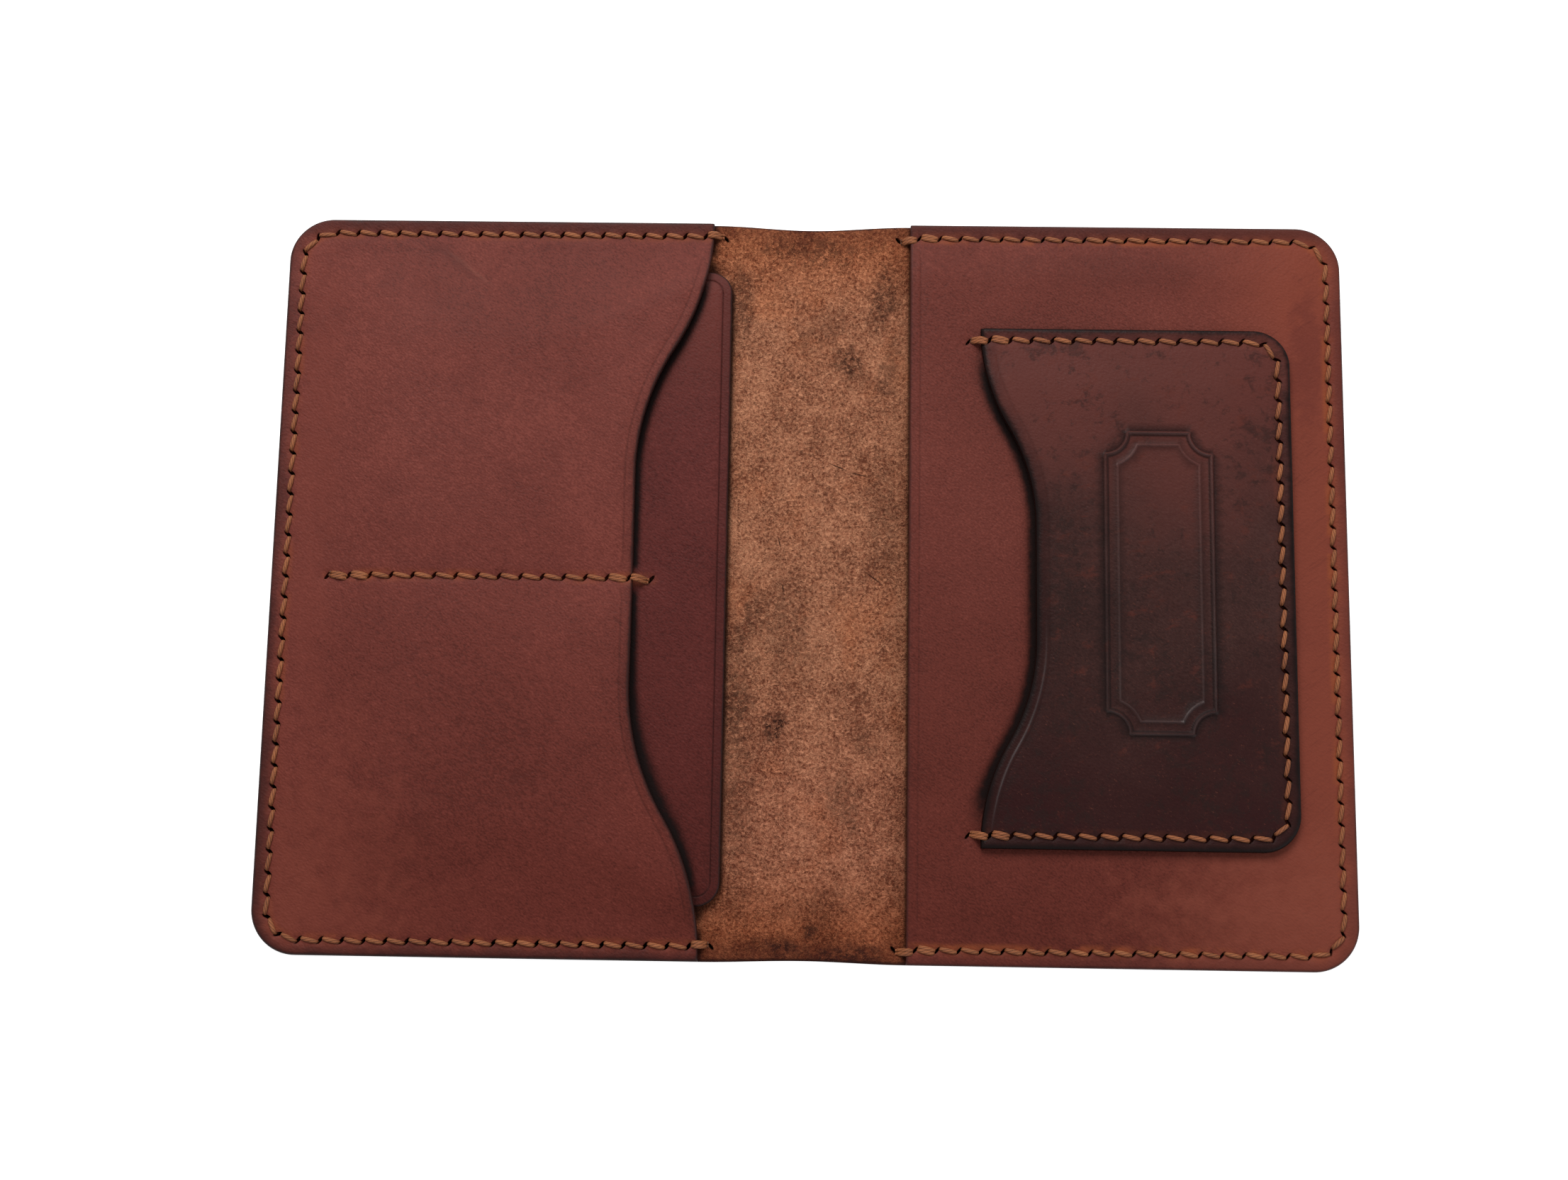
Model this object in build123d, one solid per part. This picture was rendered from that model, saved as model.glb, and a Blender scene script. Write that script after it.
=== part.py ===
from build123d import *
import os
from math import atan2, degrees, hypot

# A leather passport wallet, open and lying flat on the outer face of its cover.
# X runs across the open wallet, Y up its height, and Z away from what it lies on.
# The origin is on the cover's underside, in the middle of the fold.
#
# The left half carries a wide pocket with a curved mouth and a divider inside it.
# The right half carries a full-height sleeve with a card pocket sewn on top.
# Every pocket opens towards the fold. The bare middle of the cover is the spine. It
# bends along two lines, a square turn at each, until the two halves face each other.

# ---- Driving sizes, in millimetres and degrees ----

open_width = 204.0              # the cover, laid open
open_height = 142.0
cover_thickness = 1.8
cover_corner_radius = 8.5
cover_edge_bevel = 0.5          # along the edge of the outer face

panel_setback = 19.1            # from the fold line to the free edge of each inside panel
sewn_margin = 4.4               # flat strip of a panel that is sewn down
margin_slope = 3.6              # width over which a panel rises from its sewn margin
passport_room = 0.8             # height left for the passport's cover

left_pocket_thickness = 1.4
left_mouth_depth = 13.8         # how far the mouth curves in, at its middle
left_mouth_straight = 40.0      # straight stretch in the middle of the mouth
left_mouth_shoulder = 49.5      # height of the curve at each end of the mouth

divider_thickness = 1.1
divider_setback = 15.3          # from the fold line to the divider's free edge
divider_corner_radius = 4.5
divider_side_clearance = 0.5    # from the divider to the slope of the pocket at its side
divider_end_clearance = 2.0     # the same at the top and the bottom
divider_slot_room = 0.6         # height left between the divider and the pocket panel

sleeve_thickness = 1.4

card_pocket_thickness = 1.6
card_pocket_width = 58.8
card_pocket_height = 99.2
card_pocket_side_gap = 10.6     # from the cover's right edge to the card pocket
card_pocket_corner_radius = 7.0
card_sewn_margin = 3.8          # flat strip of the card pocket that is sewn down
card_margin_slope = 3.0
card_room = 0.8                 # height left for cards
card_mouth_depth = 10.2
card_mouth_straight = 22.0
card_mouth_shoulder = 38.0

stitch_pitch = 4.0              # wanted spacing of the slits; a seam holds a whole number
edge_seam_inset = 2.8           # from the cover's edge to the row of slits
card_seam_inset = 2.4           # the same, from the card pocket's edge
seam_overrun = 2.3              # how far an edge seam runs on past a panel's free edge
centre_seam_margin = 2.5        # from the divider's side edge to the first slit
centre_seam_overrun = 3.3       # from the left mouth to the last slit, on the divider
thread_width = 0.7
thread_height = 0.5             # thread pressed flat where it lies on the leather
thread_clearance = 0.05
slit_angle = 50.0               # between the seam and each slanted slit
groove_side = 0.2               # groove beyond the ends of a slit set square to it

closing_gap = 0.5               # left between the two halves when the wallet is shut

# ---- Sizes that follow ----

half_width = open_width / 2
half_height = open_height / 2
margin_total = sewn_margin + margin_slope
card_margin_total = card_sewn_margin + card_margin_slope
divider_side = half_width - margin_total - divider_side_clearance
divider_height = open_height - 2 * (margin_total + divider_end_clearance)
card_pocket_right = half_width - card_pocket_side_gap
card_pocket_left = card_pocket_right - card_pocket_width

divider_bottom = cover_thickness + passport_room
left_pocket_rise = passport_room + divider_thickness + divider_slot_room
left_margin_top = cover_thickness + left_pocket_thickness
left_pocket_top = left_margin_top + left_pocket_rise
sleeve_margin_top = cover_thickness + sleeve_thickness
sleeve_bottom = cover_thickness + passport_room
sleeve_top = sleeve_bottom + sleeve_thickness
card_margin_top = sleeve_top + card_pocket_thickness
card_pocket_top = card_margin_top + card_room

left_stack = left_pocket_top + thread_height - cover_thickness
right_stack = card_margin_top + max(card_room, thread_height) - cover_thickness
spine_width = left_stack + right_stack + closing_gap
spine_edge = spine_width / 2

thread_diagonal = hypot(thread_width, thread_height)
slit_width = thread_diagonal + 2 * thread_clearance
slit_length = 2 * slit_width    # two threads lie in each slit, one from each of its stitches
groove_width = slit_length + 2 * groove_side
groove_depth = thread_height + thread_clearance


# ---- Shapes that the pieces share ----

def prism(sketch, bottom, top):
    """A sketch raised from one height to another."""
    return extrude(Pos(0, 0, bottom) * sketch, amount=top - bottom)


def rounded_plate(left, right, height, radius):
    """The outline of a sheet with four rounded corners."""
    return Pos((left + right) / 2, 0) * RectangleRounded(right - left, height, radius)


def cover_outline(inset=0.0):
    """The cover's outline, pulled in by inset about the same corner centres."""
    return rounded_plate(inset - half_width, half_width - inset, open_height - 2 * inset,
                         cover_corner_radius - inset)


def card_pocket_outline(inset=0.0):
    """The card pocket's outline, pulled in by inset; its mouth side is still to be cut."""
    left = card_pocket_left - 2 * card_pocket_corner_radius
    return rounded_plate(left + inset, card_pocket_right - inset, card_pocket_height - 2 * inset,
                         card_pocket_corner_radius - inset)


def left_of(edge_x):
    """A block that holds everything to the left of edge_x."""
    return Pos(edge_x - open_width, 0, 0) * Box(2 * open_width, 2 * open_height, open_height)


def mouth_block(edge_x, depth, straight, shoulder):
    """What a curved mouth takes off a panel whose free edge is its left edge, at edge_x.

    The mouth is straight in the middle, and two equal tangent arcs join each end of that
    stretch to the free edge.
    """
    inner = Vector(edge_x + depth, straight / 2)
    outer = Vector(edge_x, straight / 2 + shoulder)
    with BuildSketch() as region:
        with BuildLine():
            Line((inner.X, 0), inner)
            first_arc = TangentArc(inner, (inner + outer) / 2, tangent=(0, 1))
            TangentArc((inner + outer) / 2, outer, tangent=first_arc % 1)
            Polyline(outer, (edge_x, open_height), (-open_width, open_height), (-open_width, 0))
            mirror(about=Plane.XZ)
        make_face()
    return prism(region.sketch, 0, open_height)


def formed_panel(outline, margin, slope, bottom, rise, thickness):
    """A sheet sewn down round its edge and raised inside, as its field and its sewn margin.

    The margin lies flat for the width of the seam, then climbs to meet the field.
    """
    hollow = extrude(Pos(0, 0, bottom) * outline(margin), amount=rise, taper=degrees(atan2(slope, rise)))
    sheet = prism(outline(), bottom, bottom + thickness) + Pos(0, 0, thickness) * hollow
    field = prism(outline(margin + slope), bottom + rise, bottom + rise + thickness)
    core = prism(outline(margin + slope), bottom, bottom + rise + thickness)
    return field, sheet - hollow - core


def to_left(shape):
    """The same shape on the left half of the wallet."""
    return mirror(shape, about=Plane.YZ)


# ---- Seams ----

def edge_seam_path(open_x, closed_x, half, radius):
    """A seam's path: along the top, round the closed side and back along the bottom."""
    corners = [(open_x, half), (closed_x, half), (closed_x, -half), (open_x, -half)]
    return Wire(FilletPolyline(*corners, radius=radius).edges())


def slits_along(path):
    """Evenly spaced slits on a path, each as its middle and the direction it is cut in."""
    count = round(path.length / stitch_pitch)
    slits = []
    for step in range(count + 1):
        where = path.position_at(step / count)
        along = path.tangent_at(step / count)
        slits.append((where, along.rotate(Axis.Z, slit_angle)))
    return slits


def slit_cutters(slits):
    """A blade for each slit, tall enough to pass through every layer."""
    blades = Sketch()
    for where, slant in slits:
        turn = degrees(atan2(slant.Y, slant.X))
        blades += Pos(where.X, where.Y) * Rot(0, 0, turn) * Rectangle(slit_length, slit_width)
    return prism(blades, 0, open_height)


def stitch(start, end, bottom, top):
    """A closed loop of thread that holds together what lies between bottom and top."""
    inside = (end - start).length - thread_height
    loop = Rectangle(inside + 2 * thread_height, top - bottom + 2 * thread_height)
    loop -= Rectangle(inside, top - bottom)
    ring = extrude(Rot(90, 0, 0) * loop, amount=thread_width / 2, both=True)
    middle = (start + end) / 2
    turn = degrees(atan2(end.Y - start.Y, end.X - start.X))
    return Pos(middle.X, middle.Y, (bottom + top) / 2) * Rot(0, 0, turn) * ring


def seam(slits, bottom, top):
    """A row of stitches. Each one leaves a slit at one end and enters the next at the other."""
    reach = slit_width / 2
    stitches = []
    for (first, first_slant), (second, second_slant) in zip(slits, slits[1:]):
        stitches.append(stitch(first + first_slant * reach, second - second_slant * reach, bottom, top))
    return Compound(children=stitches)


edge_slits = slits_along(edge_seam_path(panel_setback - seam_overrun, half_width - edge_seam_inset,
                                        half_height - edge_seam_inset,
                                        cover_corner_radius - edge_seam_inset))
left_edge_slits = [(Vector(-where.X, -where.Y), -slant) for where, slant in edge_slits]
card_slits = slits_along(edge_seam_path(card_pocket_left - seam_overrun,
                                        card_pocket_right - card_seam_inset,
                                        card_pocket_height / 2 - card_seam_inset,
                                        card_pocket_corner_radius - card_seam_inset))
centre_slits = slits_along(Edge.make_line((centre_seam_margin - divider_side, 0),
                                          (centre_seam_overrun - left_mouth_depth - panel_setback, 0)))
card_blades = slit_cutters(card_slits)
centre_blades = slit_cutters(centre_slits)


# ---- Cover: one sheet, as two stiff halves and the spine that turns between them ----
#
# The back of each edge seam lies in a groove in the outer face. The cover is pierced with
# no leather taken out, so it closes round the thread: the two are a press fit there.

cover = prism(cover_outline(), 0, cover_thickness)
cover = chamfer(cover.edges().group_by(Axis.Z)[0], cover_edge_bevel)
groove = cover_outline(edge_seam_inset - groove_width / 2) - cover_outline(edge_seam_inset + groove_width / 2)
groove -= Rectangle(2 * (panel_setback - seam_overrun) - slit_length, open_height)
cover -= prism(groove, 0, groove_depth)
nodes = {
    "cover_right_panel": cover - left_of(spine_edge),
    "cover_spine": (cover & left_of(spine_edge)) - left_of(-spine_edge),
    "cover_left_panel": cover & left_of(-spine_edge),
}

# ---- Right half: passport sleeve and card pocket ----

sleeve_field, sleeve_margin = formed_panel(cover_outline, sewn_margin, margin_slope, cover_thickness,
                                           passport_room, sleeve_thickness)
sleeve_cut = left_of(panel_setback)
nodes["sleeve_panel"] = sleeve_field - sleeve_cut - card_blades
nodes["sleeve_sewn_edge"] = sleeve_margin - sleeve_cut - slit_cutters(edge_slits)
nodes["right_edge_seam"] = seam(edge_slits, groove_depth, sleeve_margin_top)

card_field, card_margin = formed_panel(card_pocket_outline, card_sewn_margin, card_margin_slope,
                                       sleeve_top, card_room, card_pocket_thickness)
card_mouth = mouth_block(card_pocket_left, card_mouth_depth, card_mouth_straight, card_mouth_shoulder)
nodes["card_pocket_panel"] = card_field - card_mouth
nodes["card_pocket_sewn_edge"] = card_margin - card_mouth - card_blades
nodes["card_pocket_seam"] = seam(card_slits, sleeve_bottom, card_margin_top)

# ---- Left half: divider and the pocket over it ----

divider = rounded_plate(-divider_side, -divider_setback, divider_height, divider_corner_radius)
nodes["divider_panel"] = prism(divider, divider_bottom, divider_bottom + divider_thickness) - centre_blades

pocket_field, pocket_margin = formed_panel(cover_outline, sewn_margin, margin_slope, cover_thickness,
                                           left_pocket_rise, left_pocket_thickness)
left_mouth = mouth_block(panel_setback, left_mouth_depth, left_mouth_straight, left_mouth_shoulder)
nodes["left_pocket_panel"] = to_left(pocket_field - left_mouth) - centre_blades
nodes["left_pocket_sewn_edge"] = to_left(pocket_margin - left_mouth) - slit_cutters(left_edge_slits)
nodes["left_edge_seam"] = seam(left_edge_slits, groove_depth, left_margin_top)
nodes["centre_seam"] = seam(centre_slits, divider_bottom, left_pocket_top)

# ---- Files ----

os.makedirs("parts", exist_ok=True)
for name, shape in nodes.items():
    shape.label = name
    export_step(shape, f"parts/{name}.step")
print("bending lines at x =", round(spine_edge, 4), "and", round(-spine_edge, 4), "and z =", cover_thickness)
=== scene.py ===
"""Dresses an open passport wallet: leather cover, pockets, divider, waxed seams and a plain stage."""

import math

import bpy
import numpy as np
from bpy.props import FloatProperty, FloatVectorProperty, IntProperty, PointerProperty
from bpy.types import Operator, Panel, PropertyGroup
from mathutils import Matrix, Vector
from mathutils.geometry import delaunay_2d_cdt
from mathutils.kdtree import KDTree


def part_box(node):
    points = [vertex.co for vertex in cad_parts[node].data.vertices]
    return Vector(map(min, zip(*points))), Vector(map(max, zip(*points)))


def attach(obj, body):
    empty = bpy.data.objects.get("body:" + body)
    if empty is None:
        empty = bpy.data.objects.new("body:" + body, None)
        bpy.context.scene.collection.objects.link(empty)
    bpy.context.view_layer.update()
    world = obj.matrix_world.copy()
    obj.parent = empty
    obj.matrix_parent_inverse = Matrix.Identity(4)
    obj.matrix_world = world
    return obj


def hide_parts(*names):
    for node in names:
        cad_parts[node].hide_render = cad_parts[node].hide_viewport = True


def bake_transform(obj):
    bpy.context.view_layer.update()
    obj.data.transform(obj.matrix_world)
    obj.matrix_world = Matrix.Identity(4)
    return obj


bl_info = {
    "name": "Passport Wallet",
    "version": (1, 0, 0),
    "blender": (4, 5, 0),
    "location": "View3D > Sidebar > Wallet",
    "description": "Builds the leather, the seams and the stage of an open passport wallet",
    "category": "Object",
}

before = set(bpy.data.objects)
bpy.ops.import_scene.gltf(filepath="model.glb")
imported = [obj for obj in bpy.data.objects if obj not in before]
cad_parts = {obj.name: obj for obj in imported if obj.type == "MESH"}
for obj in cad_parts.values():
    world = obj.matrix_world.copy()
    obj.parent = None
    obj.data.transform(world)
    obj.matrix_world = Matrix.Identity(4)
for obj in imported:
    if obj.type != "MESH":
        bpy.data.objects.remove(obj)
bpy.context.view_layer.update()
MM = 0.001

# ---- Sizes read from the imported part, in millimetres ----


def node_box(*names):
    """Lowest and highest corner of one or more CAD nodes, in millimetres."""
    lows, highs = zip(*(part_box(name) for name in names))
    return np.min(lows, axis=0) / MM, np.max(highs, axis=0) / MM


COVER_LOW, COVER_HIGH = node_box("cover_left_panel", "cover_spine", "cover_right_panel")
POCKET_LOW, POCKET_HIGH = node_box("left_pocket_panel", "left_pocket_sewn_edge")
SLEEVE_LOW, SLEEVE_HIGH = node_box("sleeve_panel", "sleeve_sewn_edge")
CARD_LOW, CARD_HIGH = node_box("card_pocket_panel", "card_pocket_sewn_edge")
DIVIDER_LOW, DIVIDER_HIGH = node_box("divider_panel")
HALF_WIDTH, HALF_HEIGHT, COVER_TOP = COVER_HIGH
CARD_HALF_HEIGHT = CARD_HIGH[1]
POCKET_THICK = POCKET_HIGH[2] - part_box("left_pocket_panel")[0].z / MM
SLEEVE_THICK = SLEEVE_HIGH[2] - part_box("sleeve_panel")[0].z / MM
CARD_THICK = CARD_HIGH[2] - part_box("card_pocket_panel")[0].z / MM
DIVIDER_THICK = DIVIDER_HIGH[2] - DIVIDER_LOW[2]

# ---- What a user would change ----


def length(name, description, value):
    """A length property, given in millimetres."""
    return FloatProperty(
        name=name, description=description, default=value * MM, min=0.0, subtype="DISTANCE", unit="LENGTH"
    )


def colour(name, description, value):
    """A linear colour property."""
    return FloatVectorProperty(
        name=name, description=description, default=value, size=3, min=0.0, max=1.0, subtype="COLOR"
    )


class WalletSizes(PropertyGroup):
    """Sizes of the leather work and of the seams."""

    corner_radius: length("Cover corner", "Radius of the cover's corners", 8.5)
    sewn_margin: length("Sewn margin", "Flat strip of a panel that is sewn down", 4.4)
    margin_slope: length("Margin slope", "Width over which a panel rises from its margin", 3.6)
    mouth_depth: length("Left mouth depth", "How far the left mouth curves in", 13.8)
    mouth_straight: length("Left mouth straight", "Straight stretch of the left mouth", 40.0)
    mouth_shoulder: length("Left mouth shoulder", "Height of each curve of the left mouth", 49.5)
    mouth_gape: length("Left mouth gape", "How far the left mouth stands open", 0.9)
    card_corner_radius: length("Card pocket corner", "Radius of the card pocket's corners", 7.0)
    card_margin: length("Card pocket margin", "Flat strip of the card pocket that is sewn down", 3.8)
    card_slope: length("Card pocket slope", "Width over which the card pocket rises", 3.0)
    card_mouth_depth: length("Card mouth depth", "How far the card mouth curves in", 10.2)
    card_mouth_straight: length("Card mouth straight", "Straight stretch of the card mouth", 22.0)
    card_mouth_shoulder: length("Card mouth shoulder", "Height of each curve of the card mouth", 38.0)
    card_gape: length("Card mouth gape", "How far the card mouth stands open", 0.75)
    divider_corner: length("Divider corner", "Radius of the divider's corners", 4.5)
    crease_depth: length("Crease depth", "Depth of the creased lines along the free edges", 0.16)
    stitch_pitch: length("Stitch spacing", "Wanted distance between slits", 4.0)
    seam_inset: length("Seam inset", "From the cover's edge to the row of slits", 2.8)
    card_seam_inset: length("Card seam inset", "From the card pocket's edge to its slits", 2.4)
    seam_overrun: length("Seam overrun", "How far a seam runs on past a free edge", 2.3)
    slit_reach: length("Thread reach", "From a slit's middle to where a thread enters it", 0.48)
    slit_length: length("Slit length", "Length of each slanted slit", 2.1)
    slit_width: length("Slit width", "Width of each slanted slit", 0.70)
    slit_clearance: length("Slit clearance", "From a slit to where the thread bends down into it", 0.20)
    groove_width: length("Groove width", "Width of the groove behind the edge seams", 2.32)
    groove_depth: length("Groove depth", "Depth of the groove behind the edge seams", 0.55)
    thread_width: length("Thread width", "Width of the waxed thread", 0.86)
    thread_height: length("Thread height", "Height of the thread pressed on the leather", 0.62)
    slit_angle: FloatProperty(
        name="Slit angle",
        description="Between a seam and each slanted slit",
        default=math.radians(50.0),
        subtype="ANGLE",
        unit="ROTATION",
    )
    seed: IntProperty(name="Seed", description="Sets the unevenness of the stitches", default=4, min=0)


class WalletColours(PropertyGroup):
    """Colours of the leathers, the thread and the stage."""

    pocket: colour("Left pocket", "Waxed grain of the left pocket", (0.1512, 0.0367, 0.0282))
    divider: colour("Divider", "Waxed grain of the divider", (0.1032, 0.0224, 0.0194))
    sleeve: colour("Sleeve", "Waxed grain of the sleeve", (0.1372, 0.0332, 0.0247))
    card: colour("Card pocket", "Waxed grain of the card pocket", (0.0410, 0.0175, 0.0155))
    outside: colour("Cover outside", "Waxed grain of the cover's outer face", (0.1402, 0.0352, 0.0262))
    suede: colour("Suede", "Bare flesh side of the cover", (0.300, 0.1120, 0.0600))
    burnish: colour("Burnished edge", "Rubbed and waxed edges", (0.020, 0.0082, 0.0074))
    thread: colour("Thread", "Waxed linen thread", (0.285, 0.0925, 0.0345))
    floor: colour("Floor", "Plain pale floor", (0.90, 0.90, 0.90))


def sizes():
    """Every length of the size settings in millimetres, and the rest as they are."""
    group = bpy.context.scene.wallet_sizes
    found = {}
    for key in WalletSizes.__annotations__:
        value = getattr(group, key)
        found[key] = value if key in ("slit_angle", "seed") else value / MM
    return found


# ---- Outlines and paths, in millimetres, drawn on the right half ----


def steps(start, stop, step):
    """Evenly spaced numbers from start to stop, both included."""
    return np.linspace(start, stop, max(2, int(round(abs(stop - start) / step)) + 1))


def straight(start, stop, step=1.2):
    """Points along a straight run, ends included."""
    start, stop = np.array(start, float), np.array(stop, float)
    share = steps(0, np.linalg.norm(stop - start), step)
    share = share / share[-1]
    return start + (stop - start) * share[:, None]


def arc(centre, radius, start, stop, step=0.55):
    """Points along an arc, with its angles in degrees."""
    turn = np.radians(steps(start, stop, math.degrees(step / radius)))
    return np.array(centre) + radius * np.stack([np.cos(turn), np.sin(turn)], axis=1)


def chain(*runs):
    """Runs of points joined end to end, with doubled points left out."""
    points = np.concatenate(runs)
    keep = np.ones(len(points), bool)
    keep[1:] = np.linalg.norm(np.diff(points, axis=0), axis=1) > 1e-4
    return points[keep]


def clipped(line, limit):
    """The part of a line whose height is within limit."""
    return line[np.abs(line[:, 1]) <= limit]


def mirrored(points):
    """The same points on the left half."""
    return points * (-1, 1)


def closed(loop):
    """A loop with its first point once more at its end."""
    return np.concatenate([loop, loop[:1]])


def sewn_path(open_x, closed_x, half, radius, inset=0.0):
    """Along the top from open_x, round the closed side and back along the bottom."""
    right, top, corner = closed_x - inset, half - inset, max(radius - inset, 0.4)
    return chain(
        straight((open_x, top), (right - corner, top)),
        arc((right - corner, top - corner), corner, 90, 0),
        straight((right, top - corner), (right, corner - top)),
        arc((right - corner, corner - top), corner, 0, -90),
        straight((right - corner, -top), (open_x, -top)),
    )


def mouth_path(edge_x, half, depth, middle, shoulder, offset=0.0):
    """A curved mouth from bottom to top, moved into the panel by offset."""
    radius = ((depth / 2) ** 2 + (shoulder / 2) ** 2) / depth
    sweep = math.degrees(math.asin(shoulder / 2 / radius))
    inner_x, low, high = edge_x + depth, middle / 2, middle / 2 + shoulder
    upper = chain(
        straight((inner_x, 0), (inner_x, low), 0.8),
        arc((inner_x - radius, low), radius, 0, sweep, 0.8),
        arc((edge_x + radius, high), radius, 180 + sweep, 180, 0.8),
        straight((edge_x, high), (edge_x, half), 0.8),
    )
    lower = (upper * (1, -1))[::-1]
    points = chain(lower, upper)
    along = np.gradient(points, axis=0)
    along /= np.linalg.norm(along, axis=1)[:, None]
    return points + offset * np.stack([along[:, 1], -along[:, 0]], axis=1)


def left_mouth(s, offset=0.0):
    """The mouth of the left pocket, moved into it by offset."""
    depth, middle, shoulder = s["mouth_depth"], s["mouth_straight"], s["mouth_shoulder"]
    return mirrored(mouth_path(-POCKET_HIGH[0], HALF_HEIGHT, depth, middle, shoulder, offset))


def card_mouth(s, offset=0.0):
    """The mouth of the card pocket, moved into it by offset."""
    depth, middle, shoulder = s["card_mouth_depth"], s["card_mouth_straight"], s["card_mouth_shoulder"]
    return mouth_path(CARD_LOW[0], CARD_HALF_HEIGHT, depth, middle, shoulder, offset)


def plate_depth(x, y, right, half, radius, left=None):
    """How far a point lies inside a plate with rounded corners, open or closed on its left."""
    left = -right if left is None else left
    across = np.abs(x - (left + right) / 2) - ((right - left) / 2 - radius)
    up = np.abs(y) - (half - radius)
    outside = np.hypot(np.maximum(across, 0), np.maximum(up, 0))
    return radius - outside - np.minimum(np.maximum(across, up), 0)


def line_distance(x, y, line):
    """Distance from each point to a polyline."""
    best = np.full(len(x), 1e9)
    starts, runs = line[:-1], np.diff(line, axis=0)
    long = (runs**2).sum(axis=1)
    for (sx, sy), (rx, ry), size in zip(starts, runs, long):
        share = np.clip(((x - sx) * rx + (y - sy) * ry) / size, 0, 1)
        best = np.minimum(best, np.hypot(x - sx - share * rx, y - sy - share * ry))
    return best


def smooth(value, low, high):
    """0 below low, 1 above high and an even curve between."""
    share = np.clip((value - low) / (high - low), 0, 1)
    return share * share * (3 - 2 * share)


def bell(value, width):
    """1 at zero, falling away over width."""
    return np.exp(-((value / width) ** 2))


def rounding(depth, across, down):
    """How far a rounded edge has dropped at a depth inside it."""
    share = np.clip((across - depth) / across, 0, 1)
    return down * (1 - np.sqrt(1 - share**2))


def unevenness(x, y, shift):
    """Slow waves of hand-worked leather, about one high."""
    return (
        np.sin(x * 0.061 + y * 0.043 + shift)
        + np.sin(x * 0.037 - y * 0.082 + 2.1 * shift)
        + 0.6 * np.sin(x * 0.133 + y * 0.019 + 0.7 * shift)
        + 0.5 * np.sin(-x * 0.054 + y * 0.151 + 1.3 * shift)
    ) / 3.1


# ---- Slits and seams ----

# Where the centre seam starts in the divider, and how far it runs on past the left mouth.
CENTRE_SEAM_START = 2.5
CENTRE_SEAM_OVERRUN = 3.3

# How far the leather sinks under the thread, and is pulled down at a slit.
SEAM_SINK = 0.20
SLIT_PULL = 0.20


def slits_along(runs, pitch, angle):
    """Evenly spaced slits along a chain of runs, each as its middle and its direction."""
    lengths = [run["length"] for run in runs]
    total = sum(lengths)
    count = round(total / pitch)
    found = []
    for index in range(count + 1):
        at = total * index / count
        for run, size in zip(runs, lengths):
            if at <= size + 1e-6:
                break
            at -= size
        where, along = run["at"](min(at, size))
        turn = math.atan2(along[1], along[0]) + angle
        found.append((where[0], where[1], math.cos(turn), math.sin(turn)))
    return np.array(found)


def straight_run(start, stop):
    """A straight run of a seam."""
    start, stop = np.array(start, float), np.array(stop, float)
    size = np.linalg.norm(stop - start)
    along = (stop - start) / size
    return {"length": size, "at": lambda at: (start + along * at, along)}


def corner_run(centre, radius, start):
    """A quarter turn of a seam, clockwise from an angle in degrees."""

    def at(distance):
        turn = math.radians(start) - distance / radius
        out = np.array([math.cos(turn), math.sin(turn)])
        return np.array(centre) + radius * out, (out[1], -out[0])

    return {"length": radius * math.pi / 2, "at": at}


def round_seam(open_x, closed_x, half, radius, pitch, angle):
    """The slits of a seam along the top, round the closed side and back along the bottom."""
    inner_x, inner_y = closed_x - radius, half - radius
    return slits_along(
        [
            straight_run((open_x, half), (inner_x, half)),
            corner_run((inner_x, inner_y), radius, 90),
            straight_run((closed_x, inner_y), (closed_x, -inner_y)),
            corner_run((inner_x, -inner_y), radius, 0),
            straight_run((inner_x, -half), (open_x, -half)),
        ],
        pitch,
        angle,
    )


def seam_slits():
    """The slits of every seam."""
    s = sizes()
    pitch, angle, overrun = s["stitch_pitch"], s["slit_angle"], s["seam_overrun"]

    def seam(open_x, closed_x, half, radius, inset):
        return round_seam(open_x - overrun, closed_x - inset, half - inset, radius - inset, pitch, angle)

    right = seam(SLEEVE_LOW[0], HALF_WIDTH, HALF_HEIGHT, s["corner_radius"], s["seam_inset"])
    for end in (0, -1):
        x, y, cos, sin = right[end]
        tilt = math.atan2(sin, cos) - 2 * angle
        right[end] = (x, y, math.cos(tilt), math.sin(tilt))
    card = seam(CARD_LOW[0], CARD_HIGH[0], CARD_HALF_HEIGHT, s["card_corner_radius"], s["card_seam_inset"])
    mouth_x = POCKET_HIGH[0] - s["mouth_depth"]
    ends = (DIVIDER_LOW[0] + CENTRE_SEAM_START, 0), (mouth_x + CENTRE_SEAM_OVERRUN, 0)
    centre = slits_along([straight_run(*ends)], pitch, angle)
    return {"right": right, "left": -right, "card": card, "centre": centre}


def slit_shape(slit, half_length, half_width):
    """The outline of one slit: pointed at both ends."""
    x, y, cos, sin = slit
    along = np.array([-1.0, -0.72, -0.25, 0.25, 0.72, 1.0, 0.72, 0.25, -0.25, -0.72]) * half_length
    across = np.array([0, -0.75, -1, -1, -0.75, 0, 0.75, 1, 1, 0.75]) * half_width
    return np.stack([x + along * cos - across * sin, y + along * sin + across * cos], axis=1)


def slit_frame(x, y, slits):
    """Each point's place along and across its nearest slit."""
    tree = KDTree(len(slits))
    for index, slit in enumerate(slits):
        tree.insert((slit[0], slit[1], 0), index)
    tree.balance()
    nearest = np.array([tree.find((px, py, 0))[1] for px, py in zip(x, y)])
    dx, dy = x - slits[nearest, 0], y - slits[nearest, 1]
    cos, sin = slits[nearest, 2], slits[nearest, 3]
    return dx * cos + dy * sin, dy * cos - dx * sin


# ---- Sheets: an outline filled with triangles, given two faces and a wall ----

# Height of a row of the filling's triangles, and its least distance from a line, as shares of the spacing.
ROW_HEIGHT = 0.866
LINE_CLEARANCE = 0.62


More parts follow.
